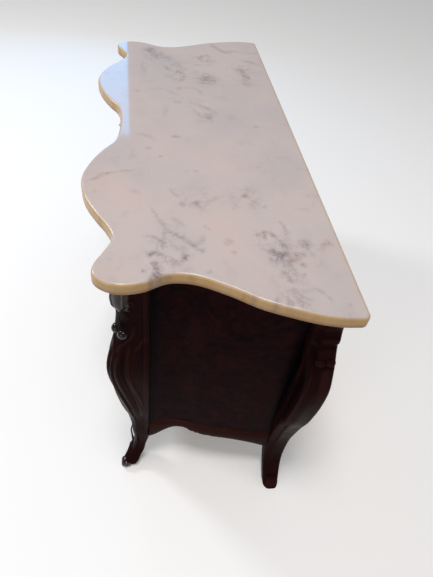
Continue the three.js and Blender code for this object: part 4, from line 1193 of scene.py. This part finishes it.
def make_post(name, shape, carving):
    """The right-hand post from its sections, its carving raised along the outward direction."""
    cut = bpy.context.scene.commode_carving
    around, rows = cut.around, cut.upwards
    half = around // 2
    face_steps, side_steps, corner_steps = half, around * 2 // 3, 5
    sections = [PostSection(shape, j / rows) for j in range(rows + 1)]
    places = [-(1 - i / (face_steps + half)) for i in range(face_steps + half)]
    places += [i / (side_steps + half) for i in range(side_steps + half + 1)]
    corners = [("flank", math.pi / 4 + i / corner_steps * math.pi / 4) for i in range(1, corner_steps + 1)]
    corners += [(which, i / 4 * math.pi / 2) for which in ("back", "front") for i in range(5)]
    columns = len(places) + len(corners)
    reliefs = {}

    def place_at(i, j):
        section = sections[j]
        if i < len(places):
            (x, y), out = section.on(places[i])
            rise = carving(section, j / rows, places[i])
            reliefs[(i, j)] = rise
            return x + out[0] * rise, y + out[1] * rise, section.z
        which, angle = corners[i - len(places)]
        (x, y), _ = section.corner(which, angle)
        return x, y, section.z

    def shade_at(i, j):
        """Carving for the finish to read, and less than -1 on the part of the face that lies in shadow."""
        hidden = i < len(places) and places[i] < shape["shade_from"]
        return reliefs.get((i, j), 0) / cut.ridge_height - (2 if hidden else 0)

    return skin(name, columns, rows, place_at, shade_at)


def marked(obj, name):
    """Marks a whole piece: with polish it mirrors the lamps, with relief it takes the lighter ridge colour,
    part wear and part painted highlight.
    """
    layer = obj.data.attributes.new(name, "FLOAT", "POINT")
    layer.data.foreach_set("value", [1.0] * len(obj.data.vertices))
    return obj


def polish_shield(post):
    """Gives the shield alone, at the outer corner of the head, the polish of the scrolls."""
    head = PostSection(FRONT_POST, 0.95)
    inner_x, inner_y = head.high_x - FRONT_POST["round"], head.low_y + FRONT_POST["round"]
    layer = post.data.attributes.new("polish", "FLOAT", "POINT")
    for vertex, mark in zip(post.data.vertices, layer.data):
        x, y, z = vertex.co
        above = ease(z - SHIELD_FOOT_SHARE * POST_TOP, 0.002, 0.008)
        outside = ease(x - inner_x, 0.001, 0.006) * ease(inner_y - y, 0.001, 0.006)
        mark.value = SHIELD_POLISH * above * outside


def make_front_posts():
    post = make_post("front_leg_right", FRONT_POST, front_carving)
    polish_shield(post)
    cut = bpy.context.scene.commode_carving
    section = PostSection(FRONT_POST, FRONT_SCROLL_HEIGHT_SHARE)
    parts = [post]
    for degrees in FRONT_SCROLL_ANGLES:
        reach = FRONT_POST["round"] - cut.scroll_sink
        x = section.high_x - FRONT_POST["round"] + reach * math.cos(math.radians(degrees))
        y = section.low_y + FRONT_POST["round"] + reach * math.sin(math.radians(degrees))
        parts.append(marked(ball((x, y, section.z), cut.scroll_radius, BALL_AXIS, BALL_FLATNESS), "polish"))
    parts += [marked(toe_roll(), "polish"), toe_fin()]
    pair(joined("front_leg_right", parts), "front_leg", "front_post", mahogany_upright())


def toe_roll():
    """The rolled toe at the outer front corner of a foot, with a spiral's steps on its round ends."""
    cut = bpy.context.scene.commode_carving
    foot = PostSection(FRONT_POST, 0)
    length, radius = cut.toe_length, cut.toe_radius
    start = (foot.high_x + TOE_OVERHANG - length, foot.low_y, radius)
    ends = ((0, 0.3), (0.02, 0.42), (0.05, 0.44), (0.07, 0.7), (0.1, 0.72), (0.13, 0.93))
    rings = [(length * share, radius * size) for share, size in ends]
    rings += [(length * share, radius) for share in (0.24, 0.5, 0.76)]
    rings += [(length * (1 - share), radius * size) for share, size in reversed(ends)]
    return turned(start, (1, 0, 0), rings, 28)


def toe_fin():
    """The thin edge of the leaf that runs from the ankle down to the toe, clear of the leg."""
    sections = [(PostSection(FRONT_POST, share), gap) for share, gap in LEAF_EDGE_PLACES]
    path = smooth_path([(s.high_x - LEAF_EDGE_INSET, s.low_y - gap, s.z) for s, gap in sections], 6)
    last = len(path) - 1
    thin, more = LEAF_EDGE_RADII
    radii = [thin + more * math.sin(math.pi * i / last) for i in range(last + 1)]
    return tube(path, radii, 3)


def make_back_posts():
    post = make_post("back_leg_right", BACK_POST, back_carving)
    cut = bpy.context.scene.commode_carving
    section = PostSection(BACK_POST, BACK_SCROLL_HEIGHT_SHARE)
    face_low = section.low_y + BACK_POST["round"]
    scrolls = []
    for share in BACK_SCROLL_SHARES:
        y = face_low + share * (section.high_y - face_low)
        centre = (section.high_x - cut.scroll_sink, y, section.z)
        bud = ball(centre, cut.scroll_radius, (0, 0, 1), BUD_FLATNESS)
        # The scrolls take the lighter ridge colour as a painted highlight
        scrolls.append(marked(bud, "relief"))
    pair(joined("back_leg_right", [post, *scrolls]), "back_leg", "back_post", mahogany_upright())


def pair(right, name, node, finish_material, slot="mahogany"):
    """Seats a right-hand piece and its mirror image on the left."""
    left = mirrored(right, f"{name}_left")
    for obj, side in ((right, "right"), (left, "left")):
        finish(obj, finish_material, slot, CARCASS, f"{node}_{side}")


# Ends
PANEL_THICK = 0.018
PANEL_HOLLOW = 0.016
PANEL_FRONT_X = 0.5453
PANEL_BACK_X = 0.59
PANEL_FRONT = 0.3884
PANEL_BACK = 0.0648
END_STATIONS = 120


def end_point(share, proud):
    hollow = PANEL_HOLLOW * read_curve(HOLLOW_SHARES, share)
    x = PANEL_FRONT_X + (PANEL_BACK_X - PANEL_FRONT_X) * share - hollow + proud
    return x, from_back(PANEL_FRONT + (PANEL_BACK - PANEL_FRONT) * share)


def end_board(name, section_at):
    """A board along the end: section_at(share) gives the (proud, height) points of its section."""
    sections = [section_at(j / END_STATIONS) for j in range(END_STATIONS + 1)]

    def place(i, j):
        proud, height = sections[j][i]
        return (*end_point(j / END_STATIONS, proud), height)

    return skin(name, len(sections[0]), END_STATIONS, place)


def arc(centre_out, centre_height, radius, start, end, steps):
    """Points of a round in a section, angles in degrees from straight out."""
    angles = [math.radians(start + (end - start) * i / steps) for i in range(steps + 1)]
    return [(centre_out + radius * math.cos(a), centre_height + radius * math.sin(a)) for a in angles]


def arch_height(table, share):
    return FOOT_HEIGHT + (ARCH_HEIGHT - FOOT_HEIGHT) * read_curve(table, share)


def panel_section(_):
    low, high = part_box("side_panel_right")[0].z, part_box("side_panel_right")[1].z
    steps = 24
    face = [(0, low + (high - low) * i / steps) for i in range(steps + 1)]
    return [*face, (-PANEL_THICK, high), (-PANEL_THICK, low)]


def rail_section(_):
    """Moulding under the slab: a round over a small step and a cove."""
    low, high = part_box("side_rail_right")[0].z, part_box("side_rail_right")[1].z
    nose = SIDE_RAIL_PROUD - 0.005
    cove = arc(nose, low + 0.001, 0.0068, 180, 90, 6)
    bead = arc(nose, high - 0.0075, 0.005, -70, 90, 8)
    return [(-PANEL_THICK, low), (0.001, low), *cove, *bead, (nose - 0.003, high), (-PANEL_THICK, high)]


# Scallops of a side apron: share of the way to the back post, half width as a share, depth as a share
SCALLOP_SHARES = ((0.37, 0.012, 1), (0.41, 0.012, 1), (0.5, 0.016, 0.8))
SCALLOP_DEPTH = 0.0028


def apron_section(share):
    """Plain rounded band with small scallops cut into its lower edge behind the arch."""
    notch = SCALLOP_DEPTH * sum(depth * hump(share - at, width) for at, width, depth in SCALLOP_SHARES)
    low = arch_height(SIDE_ARCH_SHARES, share) + notch
    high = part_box("side_apron_right")[1].z
    steps = 16
    face = []
    for i in range(steps + 1):
        across = 2 * i / steps - 1
        face.append((APRON_PROUD + 0.004 - 0.0085 * abs(across) ** 3, low + (high - low) * i / steps))
    back = [(-PANEL_THICK, high), (-PANEL_THICK, low + 0.002), (-PANEL_THICK + 0.004, low)]
    return [*face, *back]


def make_ends():
    pair(end_board("end_panel_right", panel_section), "end_panel", "side_panel", burl(), "veneer")
    pair(end_board("end_rail_right", rail_section), "end_rail", "side_rail", mahogany_deep())
    pair(end_board("end_apron_right", apron_section), "end_apron", "side_apron", mahogany_apron())


# Front rails and apron
FRONT_STATIONS = 240
RAIL_DEPTH = 0.048
APRON_THICK = 0.026
APRON_LEAF_RISE = 0.0026


def front_board(name, half, section_at):
    """A board along the front: section_at(x) gives the (proud, height) points of its section."""
    places = [half * (2 * j / FRONT_STATIONS - 1) for j in range(FRONT_STATIONS + 1)]
    sections = [section_at(x) for x in places]

    def place(i, j):
        proud, height = sections[j][i]
        return places[j], face_y(places[j]) - proud, height

    return skin(name, len(sections[0]), FRONT_STATIONS, place)


def divider_section(node, depth):
    """A rail whose front edge is a flat astragal."""
    low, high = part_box(node)[0].z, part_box(node)[1].z
    middle, radius = (low + high) / 2, (high - low) / 2
    nose = [(-0.003 + 0.003 * math.cos(a), middle + radius * math.sin(a)) for a in
            (math.radians(-84 + 168 * i / 12) for i in range(13))]
    return lambda _: [(-depth, low), *nose, (-depth, high)]


def top_rail_section(node, depth):
    """A flat rail with a bead and a small step along its lower edge."""
    low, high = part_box(node)[0].z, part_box(node)[1].z
    bead = arc(-0.001, low + 0.003, 0.003, -90, 90, 8)
    fillet = [(-0.0016, low + 0.0072), (0, low + 0.0085)]
    return lambda _: [(-depth, low), *bead, *fillet, (0, high), (-depth, high)]


SHELL_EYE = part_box("front_apron")[1].z - 0.0065
SHELL_RADIUS = 0.05
SHELL_RISE = 0.006


def shell_relief(x, height):
    """Carved shell on the pendant in the middle of the apron."""
    from_eye = math.hypot(x, height - SHELL_EYE)
    turn = math.atan2(x, SHELL_EYE - height)
    inside = ease(-from_eye, -SHELL_RADIUS, -SHELL_RADIUS * 0.86) * ease(-abs(turn), -1.75, -1.5)
    flutes = abs(math.cos(turn * 5.5)) ** 0.6
    return SHELL_RISE * inside * (0.35 + 0.65 * flutes) * ease(from_eye, 0.002, SHELL_RADIUS * 0.7)


def front_apron_section(x):
    """A roll along the arch, a leaf band that fades towards the middle, and the shell."""
    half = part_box("front_apron")[1].x
    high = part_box("front_apron")[1].z
    low = arch_height(FRONT_ARCH_SHARES, abs(x) / half)
    roll = arc(-0.002, low + 0.007, 0.0045, -80, 80, 10)
    rows = 22
    start, end = low + 0.0135, high - 0.0005
    field = []
    for i in range(rows + 1):
        height = start + (end - start) * i / rows
        leaf = APRON_LEAF_RISE * hump(height - low - 0.022, 0.005) * ease(abs(x), 0.05, 0.09)
        field.append((-0.003 + leaf + shell_relief(x, height), height))
    back = [(-APRON_THICK, high), (-APRON_THICK, low + 0.002), (-APRON_THICK + 0.004, low)]
    return [(-0.006, low), *roll, *field, *back]


def make_front_rails():
    rails = {
        "front_top_rail": top_rail_section, "upper_divider": divider_section,
        "lower_divider": divider_section, "front_bottom_rail": divider_section,
    }
    for node, section in rails.items():
        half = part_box(node)[1].x
        rail = front_board(f"{node}_moulded", half, section(node, RAIL_DEPTH))
        finish(rail, mahogany_long(), "mahogany", CARCASS, node)
    apron = front_board("front_apron_carved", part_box("front_apron")[1].x, front_apron_section)
    finish(apron, mahogany_long(), "mahogany", CARCASS, "front_apron")


# Drawer fronts
DRAWER_THICK = 0.024
BEAD_WIDTH = 0.0042


def edge_steps(length, middle_steps):
    """Places along a length, close together at both ends where the bead is."""
    bead = [BEAD_WIDTH * share for share in (0, 0.12, 0.3, 0.5, 0.7, 0.88, 1, 1.15, 1.4)]
    inner = [bead[-1] + (length - 2 * bead[-1]) * i / middle_steps for i in range(1, middle_steps)]
    return [*bead, *inner, *[length - place for place in reversed(bead)]]


COCK_BEAD_RISE = 0.0016
COCK_LINE_DEPTH = 0.0005


def cock_bead(edge):
    """Relief at a distance from the nearest edge: a half round bead, then a small sunk line."""
    if edge <= BEAD_WIDTH:
        across = (edge / BEAD_WIDTH - 0.5) * 2
        return COCK_BEAD_RISE * math.sqrt(max(1 - across * across, 0))
    return -COCK_LINE_DEPTH * hump(edge - BEAD_WIDTH * 1.15, BEAD_WIDTH * 0.25)


def make_drawer_fronts():
    for name in DRAWERS:
        low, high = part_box(f"drawer_front_{name}")
        places = [low.x + step for step in edge_steps(high.x - low.x, 190)]
        heights = edge_steps(high.z - low.z, 12)

        def place(i, j, low=low, high=high, places=places, heights=heights):
            x = places[j]
            if i >= len(heights):
                return x, face_y(x) + DRAWER_THICK, (high.z, low.z)[i - len(heights)]
            rise = heights[i]
            edge = min(x - low.x, high.x - x, rise, high.z - low.z - rise)
            return x, face_y(x) - cock_bead(edge), low.z + rise

        front = skin(f"drawer_face_{name}", len(heights) + 2, len(places) - 1, place)
        finish(front, burl(), "veneer", f"drawer_{name}", f"drawer_front_{name}")


# Handles
PLATE_STATIONS = 96
PLATE_ROWS = 18
PLATE_OVERHANG = 0.02       # past each post
PLATE_HALF_HEIGHT = 0.019
PLATE_GAP = 0.0003          # between the plate and the veneer
HEAD_RADIUS = 0.0054
HEAD_TIP_RADIUS = 0.0016
PIN_DEPTH = 0.0034          # of the pins' axis below the top of the bail
STEM_START = 0.002          # in front of the drawer's face, inside the plate
STUD_SINK = 0.002           # start of the stud inside the drawer's front
NUT_GAP = 0.0004
BAIL_DROP = 0.04
PIN_RADIUS = 0.0021
PIN_TIP_RADIUS = 0.0017
PIN_TIP_LENGTH = 0.0005
PIN_SINK = 0.002            # start of a pin inside the collar
PIN_REACH = 0.0032          # end of a pin past the middle of the post's head
COLLAR_RADIUS = 0.0037
# Stems of the handles: share of the way from the plate to the head, radius
STEM_RINGS = ((0, 0.0062), (0.14, 0.0066), (0.28, 0.0052), (0.42, 0.0038), (0.7, 0.0044))
# Studs, nuts and the knop of a bail: distance along the axis, radius
STUD_RINGS = ((0, 0.0026), (0.0105, 0.0026), (0.011, 0.0021))
NUT_RINGS = ((0, 0.0068), (0.0042, 0.0068), (0.005, 0.006))
KNOP_RINGS = (
    (-0.006, 0.0034), (-0.0045, 0.0046), (-0.003, 0.0036), (-0.0015, 0.0052), (0, 0.0056),
    (0.0015, 0.0052), (0.003, 0.0036), (0.0045, 0.0046), (0.006, 0.0034),
)
NUT_SIDES = 6


def plate_relief(share_along, share_up):
    """Cast relief of a plate: raised rim, hollow inside it, small leaves along its middle line."""
    rim = hump(abs(share_up) - 0.86, 0.16)
    rib = hump(share_up, 0.2) * (0.4 + 0.6 * abs(math.cos(share_along * math.pi * 2.5)))
    return 0.9 * rim + 0.8 * rib - 0.35


def make_plate(centre_x, height):
    half = POST_SPACING / 2 + PLATE_OVERHANG
    thick = bpy.context.scene.commode_brass.plate_thick
    reliefs = {}

    def place(i, j):
        share = 2 * j / PLATE_STATIONS - 1
        x = centre_x + share * half
        edge = PLATE_HALF_HEIGHT * read_curve(PLATE_SHARES, abs(share))
        if i > PLATE_ROWS:
            up = 1 - 2 * (i - PLATE_ROWS - 1)
            return x, face_y(x) - PLATE_GAP, height + edge * up
        up = 2 * i / PLATE_ROWS - 1
        relief = plate_relief(share, up)
        reliefs[(i, j)] = relief
        round_off = math.sqrt(max(1 - abs(up) ** 6, 0))
        rise = thick * (0.45 * round_off + 0.3 * (relief + 0.35) * round_off + 0.25)
        return x, face_y(x) - rise, height + edge * up

    return skin("plate", PLATE_ROWS + 3, PLATE_STATIONS, place, lambda i, j: reliefs.get((i, j), 0))


def make_handles():
    """A plate with its stems, heads, studs and nuts, and a bail, on each side of each drawer."""
    bulge_x = OUTLINE_SHARES[5][0] * HALF_LENGTH
    for name, side in [(name, side) for name in DRAWERS for side in SIDES]:
        node_low, node_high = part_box(f"bail_{name}_{side}")
        sign = 1 if side == "right" else -1
        pivot_y = (node_low.y + node_high.y) / 2
        height = node_high.z - PIN_DEPTH
        centre_x = sign * bulge_x
        parts = [make_plate(centre_x, height)]
        for offset in (-POST_SPACING / 2, POST_SPACING / 2):
            x = centre_x + offset
            seat = face_y(x) - STEM_START
            stem = [(share * (seat - pivot_y), radius) for share, radius in STEM_RINGS]
            parts.append(turned((x, seat, height), (0, -1, 0), stem, 20))
            parts.append(ball((x, pivot_y, height), HEAD_RADIUS, segments=24, rings=16))
            tip = (x, pivot_y - HEAD_RADIUS, height)
            parts.append(ball(tip, HEAD_TIP_RADIUS, segments=12, rings=8))
            inside = face_y(x) + DRAWER_THICK
            parts.append(turned((x, inside - STUD_SINK, height), (0, 1, 0), STUD_RINGS, 12))
            parts.append(turned((x, inside + NUT_GAP, height), (0, 1, 0), NUT_RINGS, NUT_SIDES))
        plate = joined(f"handle_cartouche_{name}_{side}", parts)
        finish(plate, brass(), "brass", f"drawer_{name}", f"handle_plate_{name}_{side}")
        bail = make_bail((centre_x, pivot_y, height), f"bail_handle_{name}_{side}")
        finish(bail, brass(), "brass", f"bail_{name}_{side}", f"bail_{name}_{side}")


def make_bail(centre, name):
    """A drop handle: two pins, and a rod that hooks down, swells at the middle and carries a turned knop."""
    radius = bpy.context.scene.commode_brass.bail_radius
    reach = POST_SPACING / 2
    right = [(x * reach, 0, -z * BAIL_DROP) for x, z in BAIL_SHARES]
    whole = right + [(-x, y, z) for x, y, z in reversed(right[:-1])]
    path = [Vector(centre) + p for p in smooth_path(whole, 10)]
    last = len(path) - 1
    radii = [radius * (0.68 + 0.32 * math.sin(math.pi * i / last) ** 1.5) for i in range(last + 1)]
    rod = tube(path, radii, 4)
    low = Vector(centre) + Vector((0, 0, -BAIL_DROP))
    knop = turned(low, (1, 0, 0), KNOP_RINGS, 20)
    collar_x = BAIL_SHARES[0][0] * reach
    inner = collar_x - PIN_SINK
    length = reach + PIN_REACH - inner
    pin_rings = ((0, PIN_RADIUS), (length - PIN_TIP_LENGTH, PIN_RADIUS), (length, PIN_TIP_RADIUS))
    pins = []
    for sign in (1, -1):
        place = Vector(centre) + Vector((sign * inner, 0, 0))
        pins.append(turned(place, (sign, 0, 0), pin_rings, 14))
        collar = Vector(centre) + Vector((sign * collar_x, 0, 0))
        pins.append(ball(collar, COLLAR_RADIUS, segments=20, rings=12))
    return joined(name, [rod, knop, *pins])


# Wood of the inside and the back
def finish_inner_wood():
    """Puts the pale wood on the frame's own pieces, its grain along each board."""
    along = {
        "x": material("deal_along_x", deal_finish((0.07, 1, 1))),
        "y": material("deal_along_y", deal_finish((1, 0.07, 1))),
        "z": material("deal_along_z", deal_finish((1, 1, 0.07))),
    }
    for name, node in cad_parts.items():
        if node.hide_render:
            continue
        low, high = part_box(name)
        sizes = dict(zip("xyz", high - low))
        longest = max(sizes, key=sizes.get)
        node.data.materials.clear()
        node.data.materials.append(along[longest])


# Stage
FLOOR_SPECKS = display(178, 172, 165)
FLOOR_GLOW = display(108, 108, 107)  # added where the floor is seen, so that it looks evenly pale


def make_floor():
    look = bpy.context.scene.commode_stage
    bpy.ops.object.select_all(action="DESELECT")
    bpy.ops.mesh.primitive_plane_add(size=14, location=(0, 0, 0))
    floor = named(bpy.context.object, "floor")

    def build(g):
        speckle = g.noise(g.place(), 14, 4).step(0.3, 0.7) * 0.08
        ground = g.mix(speckle, look.floor[:], FLOOR_SPECKS)
        ways = ("Camera", "Glossy", "Transmission")
        camera, glossy, through = (g.node("ShaderNodeLightPath", output=f"Is {way} Ray") for way in ways)
        seen = (camera + glossy + through).math("MINIMUM", 1.0)
        glow = g.mix(seen, (0, 0, 0), FLOOR_GLOW)
        g.set(Base_Color=g.mix(seen, ground, look.backdrop[:]), Roughness=0.8, Emission_Color=glow)
        g.set(Emission_Strength=1.0, Specular_IOR_Level=0.2)

    floor.data.materials.append(material("pale_floor", build))


def area_light(name, place, target, size, power, colour):
    data = bpy.data.lights.new(name, "AREA")
    data.shape = "RECTANGLE"
    data.size, data.size_y = size
    data.energy = power
    data.color = colour
    lamp = bpy.data.objects.new(name, data)
    lamp.location = place
    lamp.rotation_euler = (Vector(target) - Vector(place)).to_track_quat("-Z", "Y").to_euler()
    bpy.context.scene.collection.objects.link(lamp)


def make_camera():
    look = bpy.context.scene.commode_stage
    pitch, turn, roll = look.pitch, look.turn, look.roll
    forward = Vector((-math.cos(pitch) * math.cos(turn), math.cos(pitch) * math.sin(turn), -math.sin(pitch)))
    level = forward.cross(Vector((0, 0, 1))).normalized()
    upward = level.cross(forward)
    across = level * math.cos(roll) + upward * math.sin(roll)
    up = upward * math.cos(roll) - level * math.sin(roll)
    data = bpy.data.cameras.new("camera")
    data.sensor_fit = "VERTICAL"
    data.sensor_height = 36
    data.lens = look.lens
    camera = bpy.data.objects.new("camera", data)
    turned_to = Matrix((across, up, -forward)).transposed().to_4x4()
    camera.matrix_world = Matrix.Translation(Vector(look.camera_place)) @ turned_to
    bpy.context.scene.collection.objects.link(camera)
    bpy.context.scene.camera = camera


def make_lights():
    """Lamps above and in front, and a cold one past the left end that the slab's polish reflects."""
    middle = (0, 0, 0.5)
    area_light("window", (-3, -0.63, 1.6), (0, -0.63, 1.6), (0.68, 1.66), 11, (0.1, 0.5, 1.0))
    area_light("ceiling", (1.1, -0.5, 5), middle, (1.2, 1.2), 108, (1.0, 0.97, 0.95))
    area_light("front window", (-1.6, -2.7, 2.8), middle, (0.7, 0.7), 42, (0.93, 0.97, 1.0))
    area_light("fill", (2.6, -2.2, 1.5), middle, (0.9, 0.9), 10, (1.0, 0.98, 0.96))
    world = bpy.data.worlds.new("studio")
    world.use_nodes = True
    background = world.node_tree.nodes["Background"]
    background.inputs["Color"].default_value = (0.94, 0.94, 0.96, 1)
    background.inputs["Strength"].default_value = 0.35
    bpy.context.scene.world = world
    bpy.context.scene.view_settings.view_transform = "Standard"


def make_stage():
    make_camera()
    make_floor()
    make_lights()


# Operators, one for each piece or group of like pieces
class CommodeOperator:
    bl_options = {"REGISTER", "UNDO"}

    def execute(self, context):
        type(self).make()
        return {"FINISHED"}


class COMMODE_OT_marble_top(CommodeOperator, bpy.types.Operator):
    """Add the veined marble slab"""

    bl_idname = "commode.marble_top"
    bl_label = "Marble top"
    make = staticmethod(make_marble_top)


class COMMODE_OT_front_posts(CommodeOperator, bpy.types.Operator):
    """Add the two carved front posts"""

    bl_idname = "commode.front_posts"
    bl_label = "Front posts"
    make = staticmethod(make_front_posts)


class COMMODE_OT_back_posts(CommodeOperator, bpy.types.Operator):
    """Add the two carved back posts"""

    bl_idname = "commode.back_posts"
    bl_label = "Back posts"
    make = staticmethod(make_back_posts)


class COMMODE_OT_ends(CommodeOperator, bpy.types.Operator):
    """Add the panels, mouldings and aprons of both ends"""

    bl_idname = "commode.ends"
    bl_label = "Ends"
    make = staticmethod(make_ends)


class COMMODE_OT_front_rails(CommodeOperator, bpy.types.Operator):
    """Add the rails and the carved apron of the front"""

    bl_idname = "commode.front_rails"
    bl_label = "Front rails and apron"
    make = staticmethod(make_front_rails)


class COMMODE_OT_drawer_fronts(CommodeOperator, bpy.types.Operator):
    """Add the veneered drawer fronts"""

    bl_idname = "commode.drawer_fronts"
    bl_label = "Drawer fronts"
    make = staticmethod(make_drawer_fronts)


class COMMODE_OT_handles(CommodeOperator, bpy.types.Operator):
    """Add the brass plates and the bails that swing on them"""

    bl_idname = "commode.handles"
    bl_label = "Handles"
    make = staticmethod(make_handles)


class COMMODE_OT_inner_wood(CommodeOperator, bpy.types.Operator):
    """Finish the pale wood of the inside and the back"""

    bl_idname = "commode.inner_wood"
    bl_label = "Inner wood"
    make = staticmethod(finish_inner_wood)


class COMMODE_OT_stage(CommodeOperator, bpy.types.Operator):
    """Add the floor, the lights and the camera"""

    bl_idname = "commode.stage"
    bl_label = "Floor, lights and camera"
    make = staticmethod(make_stage)


OPERATORS = (
    COMMODE_OT_stage, COMMODE_OT_marble_top, COMMODE_OT_front_posts, COMMODE_OT_back_posts, COMMODE_OT_ends,
    COMMODE_OT_front_rails, COMMODE_OT_drawer_fronts, COMMODE_OT_handles, COMMODE_OT_inner_wood,
)


class COMMODE_PT_panel(bpy.types.Panel):
    """Lists the pieces of the commode in the sidebar"""

    bl_idname = "COMMODE_PT_panel"
    bl_label = "Commode chest"
    bl_space_type = "VIEW_3D"
    bl_region_type = "UI"
    bl_category = "Commode"

    def draw(self, context):
        for operator in OPERATORS:
            self.layout.operator(operator.bl_idname)
        for key, settings in SETTINGS.items():
            box = self.layout.box()
            for name in settings.__annotations__:
                box.prop(getattr(context.scene, key), name)


def register():
    for settings in SETTINGS.values():
        bpy.utils.register_class(settings)
    for key, settings in SETTINGS.items():
        setattr(bpy.types.Scene, key, PointerProperty(type=settings))
    for operator in OPERATORS:
        bpy.utils.register_class(operator)
    bpy.utils.register_class(COMMODE_PT_panel)


def unregister():
    bpy.utils.unregister_class(COMMODE_PT_panel)
    for operator in reversed(OPERATORS):
        bpy.utils.unregister_class(operator)
    for key, settings in SETTINGS.items():
        delattr(bpy.types.Scene, key)
        bpy.utils.unregister_class(settings)


def main():
    register()
    bpy.ops.object.select_all(action="DESELECT")
    bpy.ops.commode.stage()
    bpy.ops.commode.marble_top()
    bpy.ops.commode.front_posts()
    bpy.ops.commode.back_posts()
    bpy.ops.commode.ends()
    bpy.ops.commode.front_rails()
    bpy.ops.commode.drawer_fronts()
    bpy.ops.commode.handles()
    bpy.ops.commode.inner_wood()


if __name__ == "__main__":
    main()
